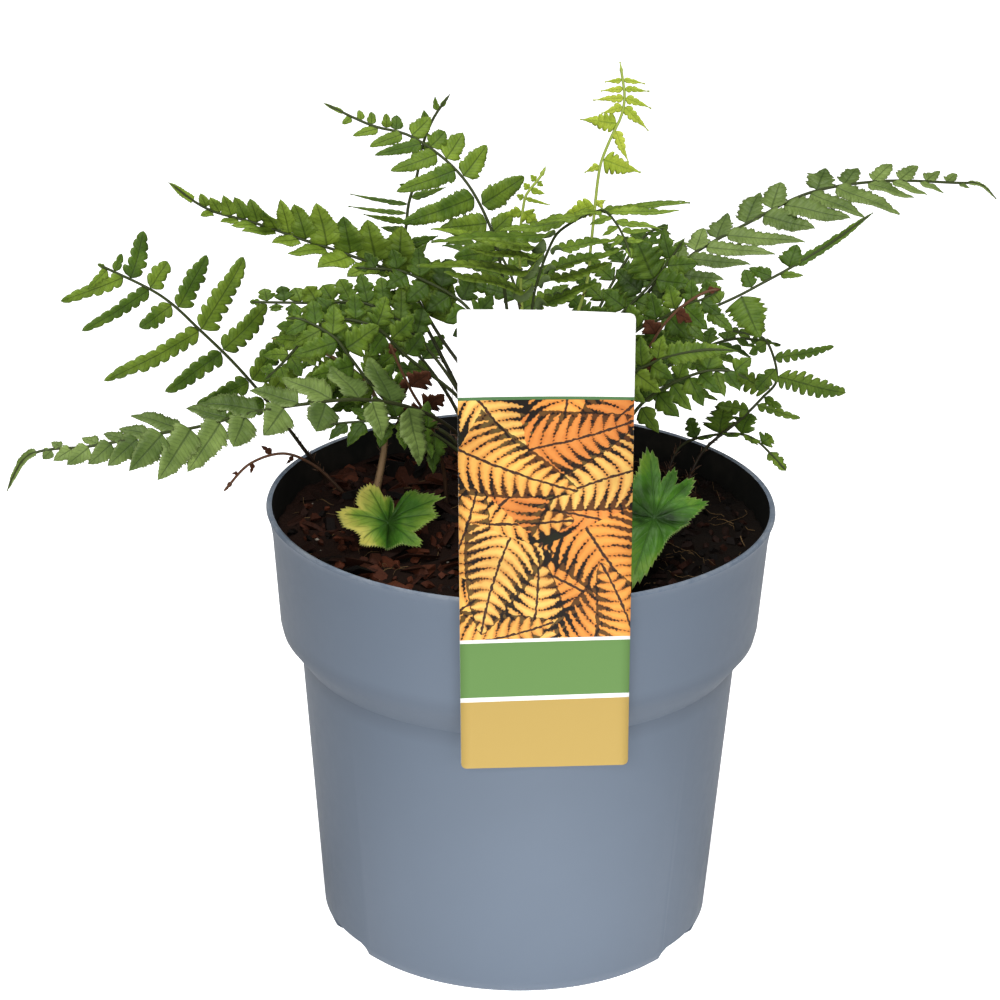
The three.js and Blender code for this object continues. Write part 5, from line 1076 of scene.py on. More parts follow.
FRONDS = [
    Frond("frond_upper_left",
          [(-9, 12, 171), (-14, 18, 200), (-31, 30, 223), (-47, 40, 243), (-65, 44, 250), (-84, 45, 256),
          (-101, 45, 262), (-119, 43, 268), (-133, 40, 279)],
          faces=((0, -0.7, 0.7), (0.3, -0.9, 0.5)), bare=0.34, reach=6, lift=(42, 42), sag=0.05, end=12,
          tint=0.5, glow=0.45, lobe=4, cuts=(0.06, 0.04), teeth=0.12, root=1, broad=1.6, taper=0.8,
          blunt=2.6, own=(
              (0.38, 0, 16, 8, 65), (0.38, 1, 17, 9, 70), (0.42, 0, 17, 6, 65), (0.42, 1, 18, 7, 65),
              (0.46, 0, 18, 7, 70), (0.49, 1, 19, 10, 65), (0.54, 1, 17, 10, 65), (0.54, 0, 14, 6, 65),
              (0.595, 0, 16, 7, 60), (0.595, 1, 15, 8, 65), (0.645, 1, 18, 7.5, 65), (0.645, 0, 16, 5, 40),
              (0.69, 1, 15, 6.5, 60), (0.705, 0, 11, 5, 40), (0.727, 1, 14, 5, 62), (0.755, 0, 13, 4, 30),
              (0.755, 1, 13, 5.5, 60), (0.795, 0, 10, 3.5, 30), (0.795, 1, 10, 4.5, 60),
              (0.82, 1, 10, 4, 55), (0.835, 0, 7, 3, 30), (0.85, 1, 9, 4, 60), (0.875, 1, 7, 3.5, 45),
              (0.89, 0, 6, 2.5, 50), (0.905, 1, 6, 3, 45))),
    Frond("frond_left_face",
          [(-75, 44, 160), (-83, 38, 174), (-93, 32, 191), (-107, 20, 214), (-119, 12, 230),
          (-133, 3, 247), (-155, -6, 262)],
          faces=FACING_FRONT, bare=0.3, reach=4, blunt=2.4, sag=0.02, end=3, thick=0.9, tint=0.52,
          cuts=(0.45, 0.2), taper=0.5, broad=1.25, lobe=3.9, root=0.95, teeth=0.03,
          own=(
              (0.33, 0, 17, 8, 75), (0.33, 1, 22, 9, 80), (0.41, 0, 21, 8, 70), (0.41, 1, 27, 9, 80),
              (0.545, 1, 24, 9, 95), (0.545, 0, 25, 7, 80), (0.64, 1, 31, 9, 80), (0.64, 0, 39, 7, 70),
              (0.74, 1, 22, 8, 80), (0.76, 0, 14, 7, 75), (0.84, 1, 12, 7, 100), (0.84, 0, 28, 5, 60),
              (0.9, 1, 18, 7, 85), (0.92, 0, 24, 5, 45), (0.95, 1, 7, 3, 95), (0.97, 0, 11, 3, 65))),
    Frond("frond_low_left",
          [(-12, 4, 171), (-22, -6, 196), (-38, -24, 214), (-58, -38, 223), (-79, -52, 226),
          (-96, -64, 227), (-113, -78, 227), (-126, -88, 228), (-150, -99, 227), (-162, -102, 227),
          (-170, -104, 225), (-177, -106, 213)],
          faces=((0, -0.35, 0.93), (-0.2, -0.5, 0.8)), bare=0.26, reach=8, lift=(-38, 5), sag=0.05, end=18,
          tint=0.55, glow=0.15, cuts=(0.16, 0.08), teeth=0.13, broad=1.75, lobe=3, root=0.9, taper=0.85,
          kind="painted_sheen", blunt=2.4, own=(
              (0.28, 0, 21, 9, 112), (0.31, 1, 25, 9, 95), (0.35, 0, 14, 7, 110), (0.37, 1, 18, 9, 80),
              (0.42, 1, 19, 9, 50), (0.435, 0, 11, 8, 60), (0.48, 1, 17, 7, 40), (0.51, 0, 12, 8, 40),
              (0.55, 1, 21, 8, 30), (0.58, 0, 12, 8, 50), (0.61, 1, 14, 6, 50), (0.625, 0, 22, 7.5, 35),
              (0.68, 0, 22, 8, 40), (0.695, 1, 17, 6, 45), (0.73, 0, 17, 6.5, 35), (0.75, 1, 10, 4.5, 35),
              (0.77, 0, 13, 5.5, 30), (0.79, 1, 7, 3.5, 40), (0.81, 0, 10, 4.5, 30), (0.83, 1, 6, 3, 45),
              (0.845, 0, 9, 4, 30), (0.87, 0, 7, 3.5, 30), (0.885, 1, 4, 2.5, 40), (0.9, 0, 4, 3, 35))),
    Frond("frond_back_left",
          [(-3, 18, 171), (-4, 22, 215), (-10, 25, 259), (-14, 28, 270), (-20, 30, 281), (-25, 32, 287),
          (-32, 34, 293), (-44, 36, 300), (-57, 37, 303), (-75, 38, 311)],
          faces=((0.3, -0.8, 0.5), (0.4, -0.8, 0.4)), bare=0.46, reach=4, sag=0.05, end=8, tint=0.65,
          cuts=(0.2, 0.08), teeth=0.1, broad=1.3, lobe=3.2, root=0.85, taper=0.6, glow=0.05, own=(
              (0.5, 0, 17, 8, 85), (0.54, 1, 11, 7, 70), (0.56, 0, 18, 8, 75), (0.6, 1, 21, 8, 90),
              (0.62, 0, 30, 8, 80), (0.67, 1, 16, 7.5, 80), (0.69, 0, 23, 6.5, 70), (0.72, 1, 13, 7, 85),
              (0.74, 0, 18, 6, 60), (0.76, 1, 9, 7, 100), (0.78, 0, 17, 4.5, 48), (0.805, 1, 11, 6.5, 110),
              (0.825, 0, 12, 4.5, 40), (0.84, 1, 6, 4.5, 85), (0.86, 1, 6, 3.5, 85),
              (0.876, 0, 9, 3.5, 30), (0.892, 1, 5, 3, 75), (0.915, 1, 4, 2.5, 60), (0.935, 0, 4, 2.5, 60))),
    Frond("frond_upright",
          [(-10, 20, 171), (-24, 34, 200), (-47, 50, 246), (-45, 56, 257), (-44, 60, 266), (-41, 64, 276),
          (-39, 67, 287), (-35, 69, 297), (-29, 70, 306)],
          faces=((0, -0.9, 0.4), (0, -0.9, 0.3)), bare=0.42, reach=5, sag=0.02, end=6, tint=0.3, glow=0.3,
          cuts=(0.3, 0.2), broad=1.1, own=(
              (0.55, 0, 12, 6, 80), (0.55, 1, 13, 7, 60), (0.61, 1, 14, 5, 60), (0.61, 0, 11, 6, 105),
              (0.645, 0, 9, 4, 95), (0.67, 0, 17, 2.8, 92), (0.69, 0, 22, 2.2, 92),
              (0.712, 0, 22, 2.2, 94), (0.73, 1, 13, 3.5, 60), (0.75, 0, 5, 3, 90), (0.83, 0, 4, 3, 55),
              (0.85, 1, 7, 4, 55), (0.9, 0, 7, 4.5, 35), (0.95, 0, 5, 3, 45))),
    Frond("frond_small_left",
          [(-14, 10, 171), (-22, 10, 205), (-42, 15, 231), (-51, 17, 237), (-60, 19, 240), (-78, 21, 239),
          (-102, 21, 239)],
          faces=FACING_FRONT, bare=0.4, reach=5, blunt=3, sag=0.02, end=4, thick=0.8, tint=0.5,
          cuts=(0.45, 0.2), lobe=3.4, teeth=0.08, root=0.9, broad=1.4, taper=0.6, own=(
              (0.5, 1, 10, 7, 60), (0.53, 0, 8, 6, 100), (0.56, 1, 12, 6, 58), (0.59, 0, 7, 6, 105),
              (0.615, 1, 12, 6, 60), (0.645, 0, 7, 6, 105), (0.665, 1, 11, 6, 64), (0.69, 0, 8, 6, 100),
              (0.715, 1, 9, 6, 66), (0.74, 0, 6, 6, 90), (0.765, 1, 7, 7, 65), (0.785, 0, 6, 6, 95),
              (0.81, 1, 7, 6.5, 65), (0.83, 0, 6, 5, 90), (0.855, 1, 6, 6, 70), (0.875, 0, 5, 5, 90),
              (0.9, 1, 6, 5.5, 80), (0.925, 0, 3, 4, 95), (0.95, 1, 5, 5, 80))),
    Frond("frond_right_long",
          [(10, 15, 171), (22, 20, 202), (47, 27, 244), (62, 35, 255), (85, 47, 265), (107, 58, 273),
          (135, 68, 275), (165, 77, 272), (174, 79, 271), (181, 80, 265)],
          faces=((0, -0.25, 1), (0, -0.4, 0.9)), bare=0.3, reach=5, sag=0.05, end=14, tint=0.55, glow=0.25,
          cuts=(0.25, 0.1), teeth=0.12, broad=1.45, lobe=3, root=0.8, taper=0.8, kind="painted_sheen", blunt=2.3,
          own=(
              (0.35, 1, 21, 6.5, 62), (0.365, 0, 12, 7, 50), (0.39, 1, 21, 6.5, 60), (0.41, 0, 12, 7, 45),
              (0.43, 1, 23, 5.5, 54), (0.448, 0, 12, 7, 42), (0.465, 1, 25, 5.5, 50), (0.49, 0, 14, 7, 42),
              (0.505, 1, 28, 6.5, 46), (0.545, 0, 18, 8, 42), (0.575, 1, 20, 8, 60), (0.595, 0, 15, 8, 45),
              (0.615, 1, 25, 8.5, 55), (0.665, 1, 22, 7, 60), (0.68, 0, 14, 8.5, 55), (0.71, 1, 25, 8, 50),
              (0.727, 0, 13, 6, 48), (0.765, 1, 17, 5.5, 35), (0.777, 0, 15, 5.5, 45),
              (0.808, 1, 13, 4, 35), (0.823, 0, 14, 5, 45), (0.857, 1, 9, 3, 35), (0.869, 0, 10, 4, 45),
              (0.905, 0, 8, 3.5, 48), (0.925, 1, 4, 2, 30))),
    Frond("frond_right_middle",
          [(12, 8, 171), (26, 8, 200), (53, 10, 235), (68, 14, 241), (80, 17, 246), (88, 19, 250),
          (97, 20, 255), (110, 22, 263), (118, 22, 269), (128, 22, 277)],
          faces=((-0.1, -0.7, 0.6), (-0.2, -0.8, 0.5)), bare=0.42, reach=12, sag=0.05, end=34, thick=0.8,
          tint=0.45, cuts=(0.3, 0.15), teeth=0.12, broad=1.25, lobe=3, root=0.9, taper=0.7, own=(
              (0.44, 0, 10, 6, 80), (0.44, 1, 13, 7, 60), (0.48, 0, 9, 6, 95), (0.51, 1, 10, 7, 75),
              (0.54, 0, 9, 6, 100), (0.57, 1, 11, 6, 70), (0.6, 0, 11, 7, 100), (0.65, 1, 17, 13, 98),
              (0.68, 0, 8, 6, 85), (0.73, 0, 10, 5, 130), (0.75, 1, 8, 3, 30), (0.775, 0, 9, 8, 45))),
    Frond("frond_behind_right_rim",
          [(64, 44, 160), (70, 47, 172), (85, 48, 186), (92, 48, 194), (97, 47, 201), (95, 45, 213),
          (91, 43, 220), (85, 42, 222), (76, 41, 224)],
          faces=((0.3, -0.9, 0.2), (0.2, -0.9, 0.4)), bare=0.38, reach=10, blunt=2.4, sag=0.03, end=9,
          thick=0.7, tint=0.55, cuts=(0.75, 0.3), taper=0.5, broad=1.1, lobe=3.4, teeth=0.02, root=0.8,
          own=(
              (0.42, 0, 13, 6, 125), (0.46, 1, 17, 4, 70), (0.505, 1, 8, 3.5, 72), (0.55, 0, 16, 9, 110),
              (0.62, 1, 31, 9, 115), (0.66, 0, 11, 8, 125), (0.71, 1, 26, 5, 110), (0.8, 0, 8, 5, 80),
              (0.85, 1, 6, 5, 80))),
    Frond("frond_right_front",
          [(10, 0, 171), (22, -8, 198), (28, -14, 217), (36, -18, 225), (49, -22, 234), (57, -23, 237),
          (67, -24, 239), (77, -25, 239)],
          faces=FACING_FRONT, bare=0.5, reach=26, sag=0.05, end=26, tint=0.55, cuts=(0.3, 0.15),
          teeth=0.14, broad=1.3, root=0.8, lobe=3.2, own=(
              (0.52, 1, 10, 7, 75), (0.545, 0, 10, 8, 75), (0.58, 1, 11, 8, 75), (0.61, 0, 12, 8, 75),
              (0.64, 1, 11, 8, 65), (0.67, 0, 11, 8, 70), (0.7, 1, 9, 7, 55), (0.73, 0, 9, 7, 60))),
    Frond("frond_right_low",
          [(14, 4, 171), (30, -8, 190), (43, -13, 213), (51, -16, 221), (59, -18, 226), (67, -19, 229),
          (75, -19, 229), (82, -19, 226)],
          faces=FACING_FRONT, bare=0.45, reach=8, blunt=2.2, sag=0.08, end=6, tint=0.5, cuts=(0.45, 0.2),
          teeth=0.08, broad=1.3, root=0.7, lobe=4.4, own=(
              (0.48, 0, 10, 7, 90), (0.54, 1, 11, 7, 105), (0.58, 0, 10, 7, 90), (0.63, 1, 11, 8, 80),
              (0.66, 0, 10, 6, 80), (0.7, 1, 11, 6, 80), (0.73, 0, 12, 6, 50), (0.77, 1, 11, 7, 85),
              (0.81, 1, 12, 6, 60), (0.84, 0, 10, 8, 65), (0.87, 1, 9, 4.5, 75), (0.91, 1, 9, 6, 60),
              (0.94, 0, 8, 6, 65))),
    Frond("frond_over_label",
          [(1, -4, 171), (3, -6, 212), (3, -6, 249), (5, -7, 260), (8, -9, 270), (11, -13, 278),
          (16, -21, 285), (22, -32, 292), (27, -44, 297), (31, -58, 297), (34, -68, 294), (36, -75, 290)],
          faces=((0, 0.37, 0.93), (-0.15, 0.35, 0.93)), bare=0.4, reach=8, sag=0, curl=0, end=5,
          light=(-0.1, -0.4, 1), turn=0.9, tint=0.72, cuts=(0.5, 0.2), teeth=0.05, broad=1.2, lobe=3.6,
          root=0.8, stem=0.7, own=(
              (0.42, 0, 26, 8, 70), (0.45, 1, 39, 10, 75), (0.47, 0, 31, 8, 75), (0.5, 1, 54, 10, 85),
              (0.5, 0, 34, 8, 75), (0.525, 1, 35, 8, 80), (0.55, 1, 46, 9, 85), (0.55, 0, 28, 7, 80),
              (0.6, 1, 50, 9, 90), (0.68, 1, 27, 8, 110), (0.73, 1, 18, 6, 120), (0.75, 0, 33, 5, 62),
              (0.785, 0, 32, 5, 68), (0.8, 1, 14, 5, 60), (0.83, 0, 25, 5, 70), (0.86, 1, 11, 4, 55),
              (0.885, 0, 16, 4, 55), (0.905, 1, 9, 3, 50), (0.925, 0, 10, 3, 80), (0.94, 1, 8, 3, 45),
              (0.955, 0, 6, 3, 80))),
    Frond("frond_young_tall",
          [(4, 13, 171), (14, 12, 220), (23, 11, 252), (24, 10, 265), (25, 10, 278), (26, 10, 291),
          (27, 10, 298), (29, 10, 304), (31, 10, 309), (34, 10, 316), (35, 10, 323), (34, 10, 330),
          (33, 10, 336)],
          faces=FACING_FRONT, bare=0.6, reach=3, sag=0.1, end=4, thick=0.8, kind="young", tint=0.4,
          glow=0.3, cuts=(0.45, 0.1), teeth=0.05, broad=1.05, lobe=2.4, root=0.9, taper=1.5, own=(
              (0.67, 0, 13, 8.5, 115), (0.67, 1, 4, 4, 50), (0.76, 0, 6, 3.5, 130), (0.775, 1, 14, 9, 90),
              (0.845, 1, 12, 5, 130), (0.86, 0, 14, 7.5, 110), (0.9, 0, 8, 4, 115), (0.9, 1, 12, 4.5, 125),
              (0.92, 0, 11, 3.5, 95), (0.92, 1, 10, 3.5, 110), (0.94, 0, 8, 3, 85), (0.94, 1, 9, 3, 105),
              (0.96, 0, 6, 2.5, 85), (0.96, 1, 8, 2.5, 110))),
    Frond("frond_young_short",
          [(-3, 6, 171), (0, 6, 220), (-2, 5, 270), (-1, 5, 282), (0, 5, 287), (2, 5, 290), (5, 5, 294),
          (7, 5, 298)],
          faces=FACING_FRONT, bare=0.8, reach=5, sag=0.05, end=4, thick=0.7, kind="young", tint=0.3,
          cuts=(0.4, 0.2), broad=1, lobe=2.4, root=0.9, own=(
              (0.85, 0, 6, 5, 115), (0.85, 1, 7, 7, 125), (0.89, 1, 9, 2, 90), (0.89, 0, 3, 3, 90),
              (0.92, 1, 5, 3, 65), (0.92, 0, 3, 3.5, 90), (0.95, 1, 4, 3.5, 90), (0.95, 0, 3, 3, 90))),
    Frond("frond_right_rim",
          [(56, 50, 160), (62, 53, 172), (76, 50, 178), (88, 42, 180), (101, 31, 171)],
          faces=((0, -0.3, 1), (0, -0.5, 0.9)), bare=0.26, reach=14, blunt=3, sag=0.05, end=10, thick=0.6,
          lift=(35, 35), tint=0.4, glow=0.3, cuts=(0.55, 0.3), teeth=0.16, broad=1.5, lobe=3, root=0.9,
          taper=0.6, own=(
              (0.32, 0, 9, 5, 100), (0.38, 1, 6, 4, 70), (0.47, 0, 13, 10, 85), (0.56, 1, 7, 5, 60),
              (0.62, 0, 9, 8, 85), (0.7, 1, 6, 5, 60), (0.77, 0, 5, 6, 80))),
    Frond("frond_left_bark",
          [(-55, 31, 160), (-52, 34, 183), (-58, 30, 203), (-72, 24, 217), (-94, 18, 226)],
          faces=((0, -0.7, 0.7), (-0.2, -0.7, 0.7)), bare=0.42, leaflets=12, reach=24, slim=0.5, thick=1.4,
          end=10, kind="tan", stem=1.5),
    Frond("frond_left_under",
          [(-8, -3, 171), (-20, -10, 190), (-40, -16, 206), (-48, -19, 209), (-56, -20, 208),
          (-66, -20, 207), (-76, -19, 205)],
          faces=((0, -0.6, 0.8), (0, -0.6, 0.8)), bare=0.4, reach=8, sag=0.1, end=8, tint=0.35,
          cuts=(0.4, 0.2), teeth=0.1, broad=1.35, root=0.7, lobe=4, own=(
              (0.46, 0, 14, 8, 110), (0.5, 1, 12, 7, 80), (0.55, 0, 15, 9, 115), (0.62, 0, 13, 8, 100),
              (0.65, 1, 12, 7, 80), (0.7, 0, 11, 7, 75), (0.755, 1, 10, 5, 50), (0.79, 0, 10, 6, 55),
              (0.86, 0, 8, 5, 40), (0.9, 1, 7, 4, 40))),
    Frond("frond_left_middle",
          [(-14, 1, 171), (-27, -3, 196), (-45, -6, 206), (-56, -10, 219), (-63, -11, 229),
          (-68, -11, 236), (-74, -10, 240), (-81, -9, 243), (-87, -8, 243)],
          faces=FACING_FRONT, bare=0.45, reach=8, blunt=2.2, sag=0.05, end=6, tint=0.55, cuts=(0.4, 0.2),
          teeth=0.1, broad=1.25, root=0.7, lobe=3.6, taper=0.7, own=(
              (0.52, 0, 12, 8, 70), (0.52, 1, 12, 7, 80), (0.59, 0, 12, 7, 65), (0.59, 1, 11, 7, 85),
              (0.645, 1, 13, 7.5, 65), (0.645, 0, 11, 6, 68), (0.7, 0, 18, 9, 64), (0.7, 1, 11, 6, 85),
              (0.765, 1, 15, 10, 92), (0.8, 0, 16, 8, 65), (0.83, 1, 11, 8, 60), (0.87, 0, 11, 6, 60),
              (0.895, 1, 9, 7, 58), (0.925, 0, 8, 5, 52), (0.955, 1, 6, 4, 60))),
    Frond("frond_right_rising",
          [(6, 3, 171), (14, 6, 192), (28, 2, 229), (37, 0, 234), (44, -2, 240), (51, -4, 244),
          (58, -5, 249), (65, -6, 252), (71, -6, 256)],
          faces=FACING_FRONT, bare=0.5, reach=6, blunt=2.2, sag=0.1, end=5, tint=0.4, cuts=(0.45, 0.2),
          teeth=0.05, broad=1.3, root=0.7, lobe=3.4, own=(
              (0.6, 0, 8, 7, 80), (0.63, 1, 9, 7, 80), (0.67, 1, 9, 8, 95), (0.7, 0, 10, 7, 80),
              (0.74, 1, 9, 8, 80), (0.77, 0, 11, 7, 85), (0.81, 1, 10, 9, 80), (0.84, 0, 10, 7, 75),
              (0.87, 1, 12, 8, 65), (0.9, 0, 9, 6, 80), (0.93, 1, 8, 6, 55), (0.955, 0, 6, 5, 70))),
    Frond("frond_middle_right",
          [(8, 9, 171), (17, 15, 205), (35, 18, 236), (41, 20, 242), (47, 22, 248), (52, 24, 254),
          (56, 25, 260), (59, 25, 265)],
          faces=FACING_FRONT, bare=0.5, reach=8, blunt=2.4, sag=0.05, end=6, tint=0.3, cuts=(0.4, 0.2),
          teeth=0.05, broad=1.3, root=0.7, lobe=3.6, own=(
              (0.62, 0, 10, 8, 90), (0.65, 1, 9, 8, 70), (0.69, 0, 11, 8, 100), (0.73, 1, 10, 8, 65),
              (0.765, 0, 13, 9, 95), (0.83, 0, 18, 13, 70), (0.83, 1, 14, 9, 62), (0.89, 1, 11, 7, 50),
              (0.915, 0, 11, 6, 50))),
    Frond("frond_middle_left",
          [(-4, 12, 171), (-8, 14, 215), (-20, 18, 238), (-28, 20, 244), (-37, 22, 248), (-46, 24, 251),
          (-54, 26, 251), (-63, 27, 251)],
          faces=FACING_FRONT, bare=0.48, reach=7, blunt=2.2, sag=0.05, end=5, tint=0.3, cuts=(0.45, 0.2),
          teeth=0.05, broad=1.3, root=0.7, lobe=3.4, own=(
              (0.55, 0, 10, 7, 85), (0.575, 1, 10, 8, 80), (0.605, 0, 10, 8, 80), (0.64, 1, 11, 8, 80),
              (0.68, 0, 10, 9, 70), (0.715, 1, 11, 9, 75), (0.76, 0, 10, 9, 70), (0.79, 1, 11, 8, 65),
              (0.83, 0, 9, 8, 60), (0.865, 1, 8, 7, 70), (0.9, 0, 6, 5, 60), (0.935, 1, 7, 5, 55))),
    Frond("frond_left_inner",
          [(-8, 6, 171), (-20, 2, 205), (-44, 0, 227), (-53, -2, 237), (-64, -3, 241), (-72, -5, 241),
          (-77, -6, 237), (-83, -6, 231), (-89, -6, 224), (-95, -6, 218)],
          faces=FACING_FRONT, bare=0.42, reach=8, blunt=2.2, sag=0.05, end=6, tint=0.45, cuts=(0.45, 0.2),
          teeth=0.08, broad=1.3, root=0.8, lobe=3.4, taper=0.7, own=(
              (0.5, 1, 10, 8, 90), (0.53, 0, 10, 7, 90), (0.565, 1, 12, 8, 90), (0.59, 0, 10, 7, 90),
              (0.62, 1, 12, 8, 85), (0.65, 0, 11, 7, 75), (0.68, 1, 10, 7, 80), (0.71, 0, 10, 7, 65),
              (0.735, 1, 10, 7, 60), (0.795, 1, 14, 7, 52), (0.795, 0, 8, 5, 72), (0.85, 1, 10, 6, 52),
              (0.85, 0, 9, 6, 82), (0.9, 1, 9, 5, 50), (0.9, 0, 8, 6, 78), (0.94, 0, 6, 4.5, 65),
              (0.962, 1, 5, 3.5, 55))),
    Frond("frond_back_upright",
          [(2, 22, 171), (2, 36, 208), (-4, 58, 236), (-16, 86, 246), (-26, 108, 240)],
          faces=((0, -0.2, 1), (0, 0.3, 1)), bare=0.42, leaflets=15, reach=26, slim=0.4, end=14, tint=0.45),
    Frond("frond_back_right",
          [(9, 21, 171), (18, 34, 206), (32, 54, 234), (46, 78, 248), (56, 100, 246)],
          faces=((-0.2, -0.3, 1), (0, 0.2, 1)), bare=0.38, leaflets=16, reach=26, slim=0.4, end=14, tint=0.4),
    Frond("frond_far_right",
          [(15, 13, 171), (32, 28, 194), (56, 44, 208), (80, 58, 214), (100, 70, 208)],
          faces=((-0.2, -0.4, 0.9), (0, -0.2, 1)), bare=0.34, leaflets=14, reach=25, slim=0.42, end=14,
          tint=0.4),
    Frond("frond_far_left",
          [(-12, 17, 171), (-30, 38, 200), (-52, 62, 216), (-74, 84, 218), (-90, 98, 208)],
          faces=((0.2, -0.3, 0.9), (0, 0.1, 1)), bare=0.36, leaflets=14, reach=25, slim=0.42, end=14,
          tint=0.45),
    Frond("withered_frond_left",
          [(-28, 16, 161), (-29, 15, 174), (-34, 4, 198), (-41, -4, 214), (-46, -7, 226), (-49, -8, 234)],
          faces=FACING_FRONT, bare=0.5, reach=6, sag=0.3, end=5, thick=0.8, kind="dead", cuts=(0.5, 0.3),
          broad=1.6, lobe=4, teeth=0.15, own=(
              (0.6, 0, 11, 8, 70), (0.6, 1, 11, 8, 80), (0.75, 0, 12, 9, 60), (0.75, 1, 11, 8, 70),
              (0.88, 0, 7, 5, 50))),
    Frond("withered_frond_right",
          [(27, 18, 161), (28, 17, 174), (33, 4, 200), (37, -8, 222), (45, -12, 234), (50, -12, 243),
          (57, -12, 251), (66, -12, 257), (71, -12, 258)],
          faces=FACING_FRONT, bare=0.5, reach=5, sag=0.3, end=5, thick=0.7, kind="dead", cuts=(0.5, 0.3),
          broad=1.6, lobe=4, teeth=0.15, own=(
              (0.62, 0, 12, 9, 70), (0.66, 1, 12, 8, 60), (0.75, 0, 8, 6, 60), (0.84, 1, 6, 4, 60))),
    Frond("withered_frond_rim",
          [(-68, 30, 160), (-78, 30, 170), (-90, 28, 176), (-103, 27, 172), (-113, 26, 161)],
          faces=FACING_FRONT, bare=0.4, leaflets=4, reach=5, slim=0.5, angle=60, end=5, thick=0.6,
          kind="dead"),
]
for frond in FRONDS:
    slot, *surfaces = LEAF_KINDS[frond.kind]
    leafy_piece = make_piece(frond.name + "_leaf", grow_frond(frond), surfaces, slot, frond.name)
    thicken(leafy_piece, LEAF_THICKNESS, offset=-1, material_offset=1)

STIPE_SCALES = 26
stipe_scale_shape = bmesh.new()
for frond in FRONDS:
    if frond.kind == "dead":
        continue
    for _ in range(STIPE_SCALES):
        share = frond.bare * 0.8 * next(scale_draws) ** 1.6
        centre, ahead, up, left = frond.frame_at(share)
        azimuth = 2 * math.pi * next(scale_draws)
        outward = up * math.sin(azimuth) + left * math.cos(azimuth)
        grow_scale(
            stipe_scale_shape, centre + outward * frond.half_at(share) * 0.6,
            (ahead + outward * (0.15 + 0.3 * next(scale_draws))).normalized(), outward,
            (1.4 + 1.8 * next(scale_draws)) * MM, (0.4 + 0.4 * next(scale_draws)) * MM)
stipe_scales = make_piece("stipe_scales", stipe_scale_shape, [scale_material], "crown")
thicken(stipe_scales, 0.1 * MM)


# Two young leaves, low on the compost on either side of the label. Each is a single fresh blade, cut into
# toothed lobes and creased along its middle, on a short stipe. The left one is half yellow.
YOUNG_LEAF_RINGS = 16
YOUNG_LEAF_SPOKES = 180
CREASE_DEPTH = 3 * MM
CREASE_REACH = 6 * MM
PLEAT_DEPTH = 0.9 * MM
PLEAT_REACH = 4 * MM
SIDE_VEIN_SPACING = 8 * MM
VEIN_REACH = 5 * MM
YOUNG_STIPE_RADIUS = 0.75 * MM


def lobe_reach(lobes, degrees):
    """How far the blade reaches in a direction, between the named corners of its lobes."""
    wrapped = lobes + [(lobes[0][0] + 360, lobes[0][1])]
    heading = degrees if degrees >= lobes[0][0] else degrees + 360
    for (start, near), (end, far) in zip(wrapped, wrapped[1:]):
        if heading <= end:
            share = (heading - start) / (end - start)
            return (near + (far - near) * share) * MM
    return lobes[0][1] * MM


